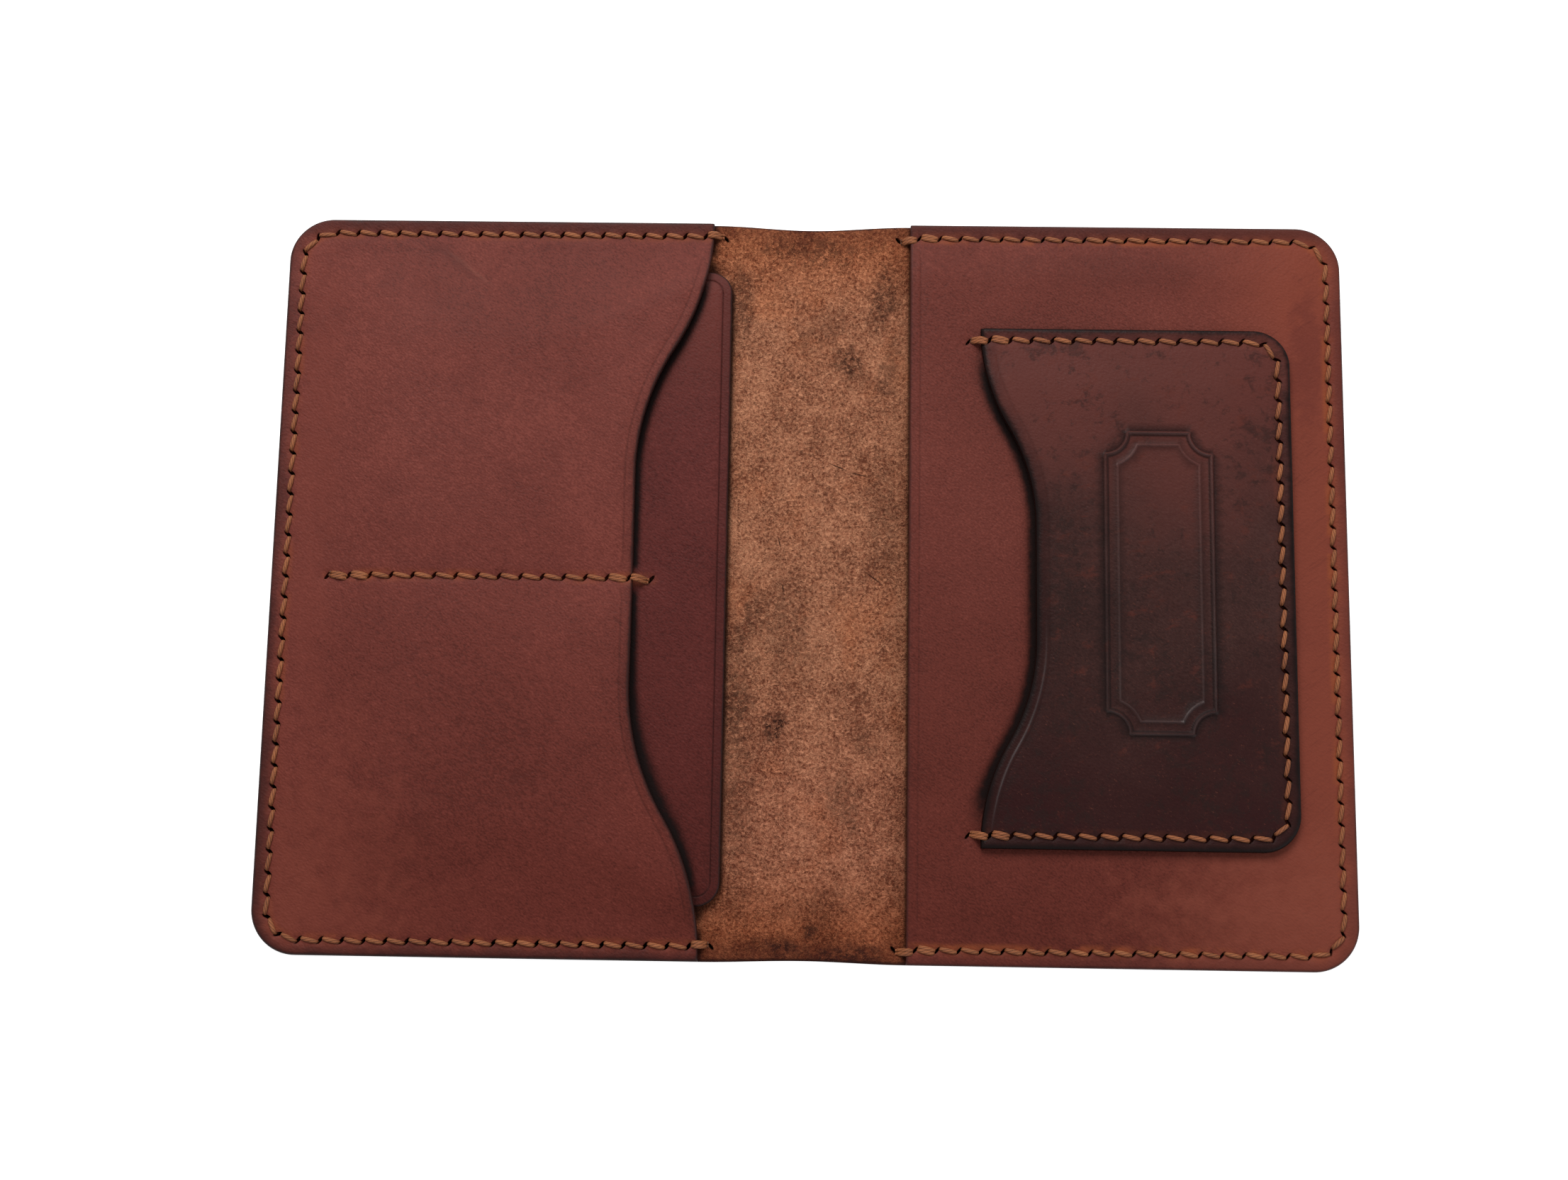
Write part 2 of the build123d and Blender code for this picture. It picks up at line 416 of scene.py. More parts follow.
def inside(points, outline):
    """Whether each point lies inside an outline."""
    x, y = points[:, 0], points[:, 1]
    found = np.zeros(len(points), bool)
    for (ax, ay), (bx, by) in zip(outline, np.roll(outline, -1, axis=0)):
        if ay != by:
            crosses = ((ay > y) != (by > y)) & (x < (bx - ax) * (y - ay) / (by - ay) + ax)
            found ^= crosses
    return found


def fill(outline, lines, holes, spots, spacing):
    """Points and triangles that fill an outline, follow its lines and leave its holes open."""
    coords = [*map(tuple, outline)]
    edges = [(i, (i + 1) % len(outline)) for i in range(len(outline))]
    for line in lines:
        base = len(coords)
        coords += map(tuple, line)
        edges += [(base + i, base + i + 1) for i in range(len(line) - 1)]
    for hole in holes:
        base = len(coords)
        coords += map(tuple, hole)
        edges += [(base + i, base + (i + 1) % len(hole)) for i in range(len(hole))]
    coords += map(tuple, spots)
    tree = KDTree(len(coords))
    for index, (x, y) in enumerate(coords):
        tree.insert((x, y, 0), index)
    tree.balance()
    low, high = outline.min(axis=0), outline.max(axis=0)
    rows = np.arange(low[1], high[1], spacing * ROW_HEIGHT)
    grid = []
    for index, y in enumerate(rows):
        shift = spacing / 2 if index % 2 else 0.0
        grid += [(x, y) for x in np.arange(low[0] + shift, high[0], spacing)]
    grid = np.array(grid)
    grid = grid[inside(grid, outline)]
    for x, y in grid:
        if tree.find((x, y, 0))[2] > spacing * LINE_CLEARANCE:
            coords.append((x, y))
    made = delaunay_2d_cdt([Vector(c) for c in coords], edges, [], 0, 1e-5)
    points = np.array([tuple(p) for p in made[0]])
    faces = np.array([tuple(f) for f in made[2]])
    middle = points[faces].mean(axis=1)
    keep = inside(middle, outline)
    for hole in holes:
        near = np.where(np.linalg.norm(middle - hole.mean(axis=0), axis=1) < 2.0)[0]
        keep[near[inside(middle[near], hole)]] = False
    faces = faces[keep]
    a, b, c = (points[faces[:, i]] for i in range(3))
    area = (b[:, 0] - a[:, 0]) * (c[:, 1] - a[:, 1]) - (b[:, 1] - a[:, 1]) * (c[:, 0] - a[:, 0])
    faces = faces[np.abs(area) > 1e-9]
    area = area[np.abs(area) > 1e-9]
    faces[area < 0] = faces[area < 0][:, ::-1]
    used = np.unique(faces)
    renumber = np.full(len(points), -1)
    renumber[used] = np.arange(len(used))
    return points[used], renumber[faces]


def sheet_mesh(name, points, faces, top, bottom, marks, material, move=None):
    """A closed sheet between two faces over the same triangles, with its marks as attributes."""
    count = len(points)
    x, y = (points if move is None else move(points)).T
    places = np.concatenate([np.stack([x, y, top], axis=1), np.stack([x, y, bottom], axis=1)]) * MM
    edges = np.concatenate([faces[:, [0, 1]], faces[:, [1, 2]], faces[:, [2, 0]]])
    key = np.minimum(edges[:, 0], edges[:, 1]) * count + np.maximum(edges[:, 0], edges[:, 1])
    _, first, times = np.unique(key, return_index=True, return_counts=True)
    rim = edges[first[times == 1]]
    walls = np.stack([rim[:, 1], rim[:, 0], rim[:, 0] + count, rim[:, 1] + count], axis=1)
    mesh = bpy.data.meshes.new(name)
    mesh.from_pydata(places, [], [*faces.tolist(), *(faces[:, ::-1] + count).tolist(), *walls.tolist()])
    for key, (upper, lower) in marks.items():
        stored = mesh.attributes.new(key, "FLOAT", "POINT")
        stored.data.foreach_set("value", np.concatenate([upper, lower]).astype(np.float32))
    return finish_mesh(name, mesh, material)


def finish_mesh(name, mesh, material):
    """An object at the origin with a smooth, checked mesh and one material."""
    mesh.materials.clear()
    mesh.materials.append(material)
    mesh.polygons.foreach_set("use_smooth", [True] * len(mesh.polygons))
    mesh.set_sharp_from_angle(angle=math.radians(48))
    mesh.update()
    mesh.validate()
    made = bpy.data.objects.new(name, mesh)
    bpy.context.scene.collection.objects.link(made)
    return made


def slit_marks(x, y, slits, s):
    """How deep the leather is pulled in at its slits, and how near each point is to one."""
    along, across = slit_frame(x, y, slits)
    pull = SLIT_PULL * bell(along, 1.15) * bell(across, 0.62)
    near = bell(along, s["slit_length"] * 0.62) * bell(across, 0.34)
    return pull, near


def slit_spots(slits, s):
    """Free points round every slit, so that the leather can dip towards it."""
    half_length, half_width = s["slit_length"] / 2, s["slit_width"] / 2
    rings = [slit_shape(slit, half_length + out, half_width + out) for slit in slits for out in (0.28, 0.62)]
    return np.concatenate(rings)


def well_spots(slits, s):
    """Points down the middle of slits that don't go through."""
    along = np.array([-0.55, 0.0, 0.55]) * s["slit_length"] / 2
    return np.concatenate([[(x + at * cos, y + at * sin) for at in along] for x, y, cos, sin in slits])


def slit_holes(slits, s):
    """The open outline of every slit."""
    return [slit_shape(slit, s["slit_length"] / 2, s["slit_width"] / 2) for slit in slits]


def pierced(outline, lines, slits, s, spacing):
    """A sheet's points and faces, and how its slits pull it in and how near they are."""
    points, faces = fill(outline, lines, slit_holes(slits, s), slit_spots(slits, s), spacing)
    x, y = points.T
    return points, faces, *slit_marks(x, y, slits, s)


def both_faces(**marks):
    """Marks that a sheet carries on its upper and its lower face."""
    return {key: (value, value) for key, value in marks.items()}


def upper_face(**marks):
    """Marks that a sheet carries on its upper face alone."""
    return {key: (value, np.zeros(len(value))) for key, value in marks.items()}


def pocket_rise(x, y, lip):
    """How far the left pocket has risen from its margin: slowly, but sooner near its mouth."""
    near = bell(lip, 14.0)
    across = smooth(HALF_WIDTH - np.abs(x), 2.0, 27.0)
    return across * smooth(HALF_HEIGHT - np.abs(y), 1.5 + 1.5 * near, 27.0 - 13.0 * near)


def painted_shade_level(x, y, lip_line, limit, width):
    """How much painted shade a mouth's overhanging lip casts on the leather beside it."""
    return bell(line_distance(x, y, lip_line), width) * smooth(limit - np.abs(y), 0.0, 12.0)


# From a free edge to its creased line; the card pocket has a worn fold beside its crease.
LEFT_CREASE = 1.95
DIVIDER_CREASE = 1.8
SLEEVE_CREASE = 2.0
CARD_CREASE = 2.6
CARD_FOLD = 1.9

# Distances from a sewn edge, a mouth, a crease and a covering mouth at which the triangles follow it.
RIM_STEPS = (0.05, 0.16, 0.32, 0.52, 0.78, 1.15)
LIP_STEPS = (0.05, 0.16, 0.30, 0.42, 0.54, 0.66, 0.82, 1.05, 1.4)
CREASE_STEPS = (-2.2, -1.0, 0.0, 1.0, 2.2)
SHADE_STEPS = (0.0, -0.5, -1.0, -1.5, -2.2, -3.0)
BESIDE_STEPS = (0.0, 0.45, 0.9, 1.5)

# How much shorter and narrower the slits close round the thread in each sheet.
COVER_SLIT_LENGTH = 0.75
POCKET_SLIT_LENGTH = 0.88
SLEEVE_SLIT_LENGTH = 0.8
SLEEVE_SLIT_WIDTH = 0.7

# ---- Materials ----


class Value:
    """A node socket that sums can be written with; each sum adds its Math node."""

    def __init__(self, tree, socket):
        self.tree, self.socket = tree, socket

    def math(self, operation, *others):
        return self.tree.sum(operation, self, *others)

    def __add__(self, other):
        return self.math("ADD", other)

    def __sub__(self, other):
        return self.math("SUBTRACT", other)

    def __rsub__(self, other):
        return self.tree.sum("SUBTRACT", other, self)

    def __mul__(self, other):
        return self.math("MULTIPLY", other)

    def __truediv__(self, other):
        return self.math("DIVIDE", other)

    def __pow__(self, other):
        return self.math("POWER", other)

    __radd__ = __add__
    __rmul__ = __mul__

    def highest(self, other):
        return self.math("MAXIMUM", other)

    def lowest(self, other):
        return self.math("MINIMUM", other)

    def clamped(self):
        return self.highest(0.0).lowest(1.0)

    def ranged(self, low, high, start=0.0, stop=1.0):
        """An even curve from start at low to stop at high."""
        inputs = {"Value": self, "From Min": low, "From Max": high, "To Min": start, "To Max": stop}
        return self.tree.node("ShaderNodeMapRange", {"interpolation_type": "SMOOTHSTEP"}, inputs)


class Tree:
    """A node tree that is filled in through one method."""

    def __init__(self, tree):
        self.tree = tree

    def sum(self, operation, *terms):
        """A Math node over numbers or sockets."""
        return self.node("ShaderNodeMath", {"operation": operation}, dict(enumerate(terms)))

    def node(self, kind, settings=None, inputs=None, output=0):
        """Adds a node: its settings first, then the value, the link or the list of links of each socket."""
        made = self.tree.nodes.new(kind)
        for key, value in (settings or {}).items():
            setattr(made, key, value)
        for key, value in (inputs or {}).items():
            for each in value if isinstance(value, list) else [value]:
                if isinstance(each, Value):
                    self.tree.links.new(each.socket, made.inputs[key])
                else:
                    made.inputs[key].default_value = each
        return Value(self, made.outputs[output]) if len(made.outputs) else made


class Finish(Tree):
    """A material in the making, with its pattern laid out in millimetres."""

    def __init__(self, name):
        self.material = bpy.data.materials.new(name)
        self.material.use_nodes = True
        super().__init__(self.material.node_tree)
        self.tree.nodes.clear()
        place = self.node("ShaderNodeTexCoord", output="Object")
        self.place = self.node("ShaderNodeVectorMath", {"operation": "SCALE"}, {0: place, "Scale": 1 / MM})

    def turned(self, angle, scale, place=None):
        """The pattern's coordinates turned by an angle and divided by a scale."""
        inputs = {"Vector": place or self.place, "Rotation": (0, 0, math.radians(angle)), "Scale": scale}
        return self.node("ShaderNodeMapping", {"vector_type": "TEXTURE"}, inputs)

    def moved(self, x, y, place=None):
        """The pattern's coordinates shifted across."""
        return self.node("ShaderNodeMapping", {}, {"Vector": place or self.place, "Location": (x, y, 0)})

    def noise(self, scale, detail=2.0, roughness=0.5, distortion=0.0, place=None, output=0):
        """An even noise about a half."""
        inputs = {"Vector": place or self.place, "Scale": scale, "Detail": detail}
        inputs.update({"Roughness": roughness, "Distortion": distortion})
        return self.node("ShaderNodeTexNoise", {}, inputs, output)

    def cells(self, scale, place):
        """The distance from the nearest of many scattered points."""
        return self.node("ShaderNodeTexVoronoi", {}, {"Vector": place, "Scale": scale})

    def mark(self, name):
        """A number kept on the mesh."""
        return self.node("ShaderNodeAttribute", {"attribute_name": name}, output="Fac")

    def axis(self, name, place=None):
        """One coordinate of the pattern."""
        return self.node("ShaderNodeSeparateXYZ", {}, {0: place or self.place}, name)

    def mix(self, factor, first, second, blend="MIX"):
        """Two colours mixed; a plain colour may stand for either."""
        first, second = ((*tone, 1.0) if isinstance(tone, tuple) else tone for tone in (first, second))
        settings = {"data_type": "RGBA", "blend_type": blend}
        return self.node("ShaderNodeMix", settings, {0: factor, 6: first, 7: second}, 2)

    def bump(self, height, distance):
        """A bump of a height in millimetres times distance."""
        return self.node("ShaderNodeBump", {}, {"Height": height, "Distance": distance * MM, "Strength": 1.0})

    def done(self, colour, roughness, normal, **constants):
        """Connects the surface and gives back the material."""
        inputs = {"Base Color": colour, "Roughness": roughness, "Normal": normal}
        inputs.update({key.replace("_", " "): value for key, value in constants.items()})
        surface = self.node("ShaderNodeBsdfPrincipled", {}, inputs)
        self.node("ShaderNodeOutputMaterial", {}, {"Surface": surface})
        return self.material


def shade(tone, factor):
    """A colour made lighter or darker by a factor."""
    return tuple(min(1.0, part * factor) for part in tone)


def tinge(tone, factors):
    """A colour with each of its parts multiplied by a factor of its own."""
    return tuple(part * factor for part, factor in zip(tone, factors))


def patch(finish, x, y, wide, tall, angle=0.0, ragged=0.35, core=0.35):
    """1 in the core of an uneven oval patch, 0 outside it."""
    place = finish.turned(angle, (wide, tall, 1), finish.moved(-x, -y))
    flat = finish.node("ShaderNodeVectorMath", {"operation": "MULTIPLY"}, {0: place, 1: (1, 1, 0)})
    far = finish.node("ShaderNodeVectorMath", {"operation": "LENGTH"}, {0: flat}, "Value")
    return 1 - (far + (finish.noise(0.3, 3, 0.6) - 0.5) * (2 * ragged)).ranged(core, 1.1)


def patched(finish, tinted, patches):
    """A colour under a list of patches, each with its place, its strength and its own colour."""
    for place, strength, tone in patches:
        tinted = finish.mix(patch(finish, *place) * strength, tinted, tone)
    return tinted


def grain_tone(finish, tone, contrast=1.0, offset=0.0):
    """Waxed grain: broad cloudy patches, small mottling and fine pores over one colour, darkened towards the
    foot partly by painted shade.

    Gives back the colour, the grain's height and its roughness.
    """
    moved = finish.moved(offset, 2 * offset)
    broad = finish.noise(0.024, 3, 0.55, 0.4, place=moved)
    cloud = finish.noise(0.10, 4, 0.6, 0.2, place=moved)
    mottle = finish.noise(0.75, 4, 0.62, place=finish.turned(-38, (1.5, 0.8, 1), moved))
    pores = finish.noise(2.5, 2, 0.62, place=finish.turned(-38, (1.35, 0.8, 1), moved))
    pits = finish.cells(1.9, place=finish.turned(-30, (1.3, 0.85, 1), moved))
    # Darker and deeper in tone towards the foot: partly painted shade of the light falling from the top,
    # partly the leather's own tone.
    foot_tone_and_shade = 1 - finish.axis("Y").ranged(-75, 40)
    level = 0.5 + (broad - 0.5) * (1.2 * contrast) + (cloud - 0.5) * (0.55 * contrast)
    level = level + (mottle - 0.5) * 0.80 + (pores - 0.5) * 1.9
    deep, mid, pale = shade(tone, 0.66), tone, shade(tone, 1.36)
    pale = (pale[0], pale[1] * 1.06, pale[2] * 1.05)
    tinted = finish.mix(level.ranged(0.0, 0.5), deep, mid)
    tinted = finish.mix(level.ranged(0.5, 1.0), tinted, pale)
    tinted = finish.mix(foot_tone_and_shade, tinted, (0.86, 0.74, 0.70), "MULTIPLY")
    height = pores * 0.8 + pits * 0.5 + mottle * 0.5
    rough = 0.50 + (cloud - 0.5) * 0.25 + (pores - 0.5) * 0.2
    return tinted, height, rough


# The dye that darkens a leather's margin.
MARGIN_DYE = (0.0200, 0.0060, 0.0054)


def edge_work(
    finish,
    tinted,
    rough,
    height,
    burnish,
    margin=0.6,
    line=0.5,
    worn=0.45,
    dark=0.88,
    soot=2.4,
    smoky=0.45,
    broad=1.0,
    fade=0.0,
    gleam=0.12,
    slits=0.95,
):
    """Burnished rims, creases, dark slits, worn places and painted shade under overhanging mouths over a
    leather's colour.

    Strengths: margin of the dyed margin, line of the creases and of the painted shade beside the card pocket's
    stamped ridges, worn of the rubbed leather by the seam, dark of the burnished rim, smoky of the dark beside
    it, gleam of its gloss, slits of the dark round the slits. soot lightens the margin's dye, broad widens the
    rim, and fade clears the margin towards the top.
    """
    names = ("rim", "crease", "slit", "seam", "border")
    rim, crease, slit, seam, border = (finish.mark(name) for name in names)
    fine, slow = finish.noise(0.7, 3, 0.6) - 0.5, finish.noise(0.09, 3, 0.6) - 0.5
    edge = 1 - (rim / broad + fine * 0.4 + slow * 0.5).ranged(0.08, 0.58)
    wide = 1 - (border + fine * 1.2 + slow * 4.0).ranged(0.3, 3.2)
    lip = 1 - (rim / broad + fine * 0.9 + slow * 1.5).ranged(0.2, 1.7)
    wide = wide.highest(lip * smoky)
    upper = (finish.axis("Y") + slow * 4.0).ranged(66.6, 69.6)
    rubbed = (1 - seam.ranged(0.35, 1.8)) * (finish.noise(0.22, 3, 0.6) + slow).ranged(0.38, 0.66)
    rubbed = rubbed * (border.ranged(2.3, 3.9) * 0.75 + 0.25)
    kept = 1 - finish.axis("Y").ranged(-10, 48) * fade
    tinted = finish.mix(wide * kept * margin, tinted, shade(MARGIN_DYE, soot))
    tinted = finish.mix(upper * 0.40, tinted, shade(burnish, 1.6))
    tinted = finish.mix(rubbed * worn, tinted, (0.285, 0.072, 0.028))
    tinted = finish.mix(edge * dark, tinted, burnish)
    # Painted shade where an overhanging mouth keeps the light off, with the grain's bump flattened there.
    painted_shade_level = (finish.mark("shelter") * (1 + fine * 0.6)).ranged(0.03, 0.93)
    tinted = finish.mix(painted_shade_level * 0.97, tinted, shade(burnish, 0.12))
    # Crease lines, and on the card pocket the painted shadow beside its stamped ridges.
    tinted = finish.mix((crease * line).clamped(), tinted, shade(burnish, 0.9))
    tinted = finish.mix(slit.ranged(0.22, 0.70) * slits, tinted, shade(burnish, 0.22))
    rough = rough * (1 - edge * 0.30)
    height = height * (1 - edge * 0.75) * (1 - painted_shade_level * 0.8)
    coat = (edge * gleam + finish.mark("crest")) * (0.6 + slow)
    return tinted, rough, height, coat.clamped()


def grain_leather(name, tone, burnish, offset, contrast=1.0, tint=None, **edges):
    """A waxed, dyed leather with burnished edges."""
    finish = Finish(name)
    tinted, height, rough = grain_tone(finish, tone, contrast, offset)
    if tint:
        tinted = tint(finish, tinted)
    tinted, rough, height, coat = edge_work(finish, tinted, rough, height, burnish, **edges)
    normal = finish.bump(height, 0.11)
    return finish.done(tinted, rough, normal, Specular_IOR_Level=0.07, Coat_Weight=coat, Coat_Roughness=0.28)


# Darkened places on the bare leather of the fold, stains and a painted shadow along the divider's edge:
# middle, half sizes, turn and strength.
SMUDGES_AND_SHADE = (
    (7.5, 43.5, 3.6, 5.5, 20, 0.8),
    (15.0, 42.0, 2.6, 9.0, -10, 0.5),
    (14.5, 56.0, 3.5, 8.0, -10, 0.70),
    (-4.0, -8.0, 8.0, 13.0, 25, 0.42),
    (-12.5, -25.0, 3.2, 7.0, 0, 0.45),
    (-5.6, -27.5, 2.4, 3.2, -20, 1.0),
    (-5.2, -26.2, 1.6, 0.7, -35, 1.0),
    (11.5, -30.0, 2.2, 3.6, 30, 0.45),
    (7.5, -42.0, 4.0, 7.5, 10, 0.50),
    (-13.5, 55.0, 3.0, 10.0, 0, 0.55),
    (0.0, 66.0, 15.0, 4.5, 0, 0.60),
    (14.0, 12.0, 3.5, 14.0, 5, 0.38),
    (2.0, 49.0, 7.0, 4.0, 40, 0.30),
    (4.0, -60.0, 10.0, 4.0, 15, 0.30),
    # painted shadow along the divider's edge
    (-12.5, -30.0, 4.0, 34.0, 0, 0.45),
    (0.0, -70.0, 18.0, 3.5, 0, 0.55),
    (-4.5, -68.0, 5.0, 2.4, 0, 0.95),
    (9.0, -69.5, 9.0, 2.2, 5, 0.85),
    (1.3, -65.0, 2.2, 2.6, 0, 0.85),
)

# Short knife cuts in the bare leather: middle, half length and turn.
CUTS = (
    (5.6, 22.7, 2.4, -22),
    (9.4, 21.3, 2.1, -12),
    (-5.4, 7.8, 1.2, -75),
    (-4.6, -1.0, 0.9, -80),
    (12.5, 1.2, 2.6, -35),
)


def cover_leather(name, suede, outside, burnish):
    """The cover: bare flesh side inside, waxed grain outside, burnished round its edge, with painted shade
    beside the panels on it.
    """
    finish = Finish(name)
    strands = None
    for angle, shift, scale in ((18, 0.0, 1.15), (77, 17.0, 1.45), (131, 39.0, 0.95)):
        turned = finish.moved(shift, shift, finish.turned(angle, (1.25, 0.8, 1.0)))
        curl = 1 - (finish.noise(scale, 1.5, 0.55, 0.6, place=turned) - 0.5).math("ABSOLUTE") * 14.0
        broken = finish.noise(0.9 * scale, 1, 0.5, place=turned, output=1)
        curl = curl.highest(0.0) * broken.ranged(0.42, 0.60)
        strands = curl if strands is None else strands.highest(curl)
    fleck = finish.noise(1.7, 4, 0.75)
    blotch = finish.noise(0.075, 5, 0.66, 0.6)
    smudge = finish.noise(0.36, 4, 0.72, 0.5)
    speckle = finish.noise(0.95, 3, 0.7, 0.8)
    level = 0.44 + (fleck - 0.5) * 6.5 + (blotch - 0.5) * 2.8 + (smudge - 0.5) * 2.4
    dark, pale = tinge(suede, (0.40, 0.32, 0.32)), tinge(suede, (2.1, 2.5, 2.6))
    nap = finish.mix(level.ranged(-0.35, 0.58), dark, suede)
    nap = finish.mix(level.ranged(0.50, 1.7) * 0.6, nap, pale)
    nap = finish.mix(strands * (0.55 + level.ranged(0.0, 1.0) * 0.45), nap, pale)
    orange = finish.noise(0.06, 3, 0.6, 0.4, place=finish.turned(30, (1, 1, 1))).ranged(0.5, 0.72)
    ends = finish.axis("Y").math("ABSOLUTE").ranged(50, 71)
    nap = finish.mix((orange * 0.45).highest(ends * 0.7), nap, (1.0, 0.71, 0.49), "MULTIPLY")
    height = finish.axis("Y") + (blotch - 0.5) * 30
    nap = finish.mix(1 - height.ranged(-71, -52), nap, (0.66, 0.62, 0.58), "MULTIPLY")
    nap = finish.mix(1 - height.ranged(-45, -15), nap, (0.97, 0.90, 0.92), "MULTIPLY")
    specks = speckle + fleck * 0.25 + smudge * 0.35
    # Stains, and the painted shadow along the divider's edge.
    for *place, strength in SMUDGES_AND_SHADE:
        stain_and_shade = patch(finish, *place, 0.9) * (specks.ranged(0.74, 0.86) * 0.82 + 0.18) * strength
        nap = finish.mix(stain_and_shade, nap, (0.034, 0.0125, 0.0090))
    for x, y, long, angle in CUTS:
        cut = patch(finish, x, y, long, 0.16, angle, 0.15)
        nap = finish.mix(cut * 0.85, nap, (0.020, 0.008, 0.006))
    nap = finish.mix(specks.ranged(0.98, 1.08) * 0.6, nap, (0.062, 0.0200, 0.0120))
    # Painted shade on the suede beside the panels that lie on it.
    painted_shade_level = finish.mark("shelter") * (1 + (fleck - 0.5) * 1.5)
    nap = finish.mix(painted_shade_level.ranged(0.0, 1.0) * 0.9, nap, (0.016, 0.0060, 0.0045))
    beside = finish.axis("X").math("ABSOLUTE").ranged(12.5, 20.0)
    nap = finish.mix(beside * 0.55, nap, (0.56, 0.50, 0.48), "MULTIPLY")
    grain, grain_height, grain_rough = grain_tone(finish, outside, 1.0, 31.0)
    outer = finish.mark("outer").ranged(0.3, 0.7)
    tinted = finish.mix(outer, nap, grain)
    rim, slit = finish.mark("rim"), finish.mark("slit")
    ragged = (finish.noise(0.7, 3, 0.6) - 0.5) * 0.8
    edge = 1 - (rim + ragged).ranged(0.10, 0.70)
    wide = 1 - (rim + ragged * 3.5).ranged(0.3, 6.0)
    tinted = finish.mix(wide * 0.45, tinted, shade(outside, 0.45))
    tinted = finish.mix(edge * 0.85, tinted, shade(burnish, 1.3))
    tinted = finish.mix(slit.ranged(0.22, 0.70) * 0.95, tinted, shade(burnish, 0.22))
    rough = 0.88 + (grain_rough - 0.88) * outer
    nap_height = (strands * 1.1 + fleck * 1.6) * (1 - outer) * (1 - edge)
    normal = finish.bump(nap_height * 2.0 + grain_height * outer, 0.06)
    return finish.done(tinted, rough, normal, Specular_IOR_Level=0.05)


def thread_finish(name, tone):
    """Waxed thread laid up from four twisted plies, with painted shade between the plies and painted highlight
    on them.
    """
    finish = Finish(name)
    lay = finish.node("ShaderNodeUVMap", {"uv_map": "lay"})
    along, around = finish.axis("X", lay), finish.axis("Y", lay)
    phase = around * 4.0 + along / 1.25
    round_ply = phase.math("PINGPONG", 0.5) * 2.0
    ply_shape_and_shade = (1 - (1 - round_ply) ** 2).math("SQRT")
    inputs = {"X": phase * 7.0, "Y": along * 1.1 - around * 2.0, "Z": finish.noise(0.25)}
    fibre = finish.noise(2.2, 2, 0.6, place=finish.node("ShaderNodeCombineXYZ", {}, inputs))
    uneven = finish.noise(0.22, 2, 0.5)
    # Painted shade in the grooves between the plies and painted highlight on their crowns, over the thread's
    # own fibres and unevenness.
    level = ply_shape_and_shade * 0.72 + (fibre - 0.5) * 1.1 + (uneven - 0.5) * 1.2 - 0.04
    tinted = finish.mix(level.ranged(-0.15, 0.48), shade(tone, 0.28), tone)
    tinted = finish.mix(level.ranged(0.48, 1.05), tinted, tinge(tone, (1.5, 1.6, 1.6)))
    normal = finish.bump(ply_shape_and_shade * 1.4 + fibre * 0.8, 0.10)
    return finish.done(tinted, 0.62 + (fibre - 0.5) * 0.3, normal, Specular_IOR_Level=0.35)


def seen_rays(tree):
    """1 for what the camera, a reflection or a glass sees, 0 for light on its way to the object."""
    kinds = ("Is Camera Ray", "Is Glossy Ray", "Is Transmission Ray")
    camera, glossy, through = (tree.node("ShaderNodeLightPath", {}, output=kind) for kind in kinds)
    return camera.highest(glossy).highest(through)


def floor_finish(name, tone):
    """A plain pale floor: white to the camera but for the object's shadow."""
    finish = Finish(name)
    paper = finish.node("ShaderNodeBsdfDiffuse", {}, {"Color": (*tone, 1.0)})
    glow = finish.node("ShaderNodeEmission", {}, {"Color": (1, 1, 1, 1), "Strength": 0.78})
    lit = finish.node("ShaderNodeAddShader", {}, {0: paper, 1: glow})
    surface = finish.node("ShaderNodeMixShader", {}, {0: seen_rays(finish), 1: paper, 2: lit})
    finish.node("ShaderNodeOutputMaterial", {}, {"Surface": surface})
    return finish.material


# Patches of a leather: middle, half sizes, turn, raggedness and core; strength; colour.
SLEEVE_PATCHES = (
    ((88.0, -60.0, 40.0, 20.0, 10, 0.8, -0.3), 0.75, (0.2372, 0.0612, 0.0392)),
    ((95.0, 45.0, 4.0, 17.0, 0, 0.8), 0.40, (0.100, 0.0220, 0.0195)),
    ((101.5, 38.0, 3.0, 30.0, 0, 0.6), 0.40, (0.075, 0.0140, 0.0130)),
    ((56.0, 62.0, 26.0, 5.0, 0, 0.7), 0.25, (0.075, 0.0190, 0.0150)),
)
POCKET_PATCHES = (
    ((-94.0, -60.0, 34.0, 40.0, 20, 0.8, -0.35), 0.85, (0.2012, 0.0482, 0.0322)),
    ((-95.0, 20.0, 6.0, 60.0, 0, 0.7), 0.45, (0.1812, 0.0422, 0.0302)),
    ((-66.5, 61.0, 8.0, 0.55, -38, 0.5), 0.22, (0.250, 0.0900, 0.0650)),
    ((-69.0, 62.0, 9.0, 1.3, -40, 0.6), 0.40, (0.080, 0.0220, 0.0180)),
)


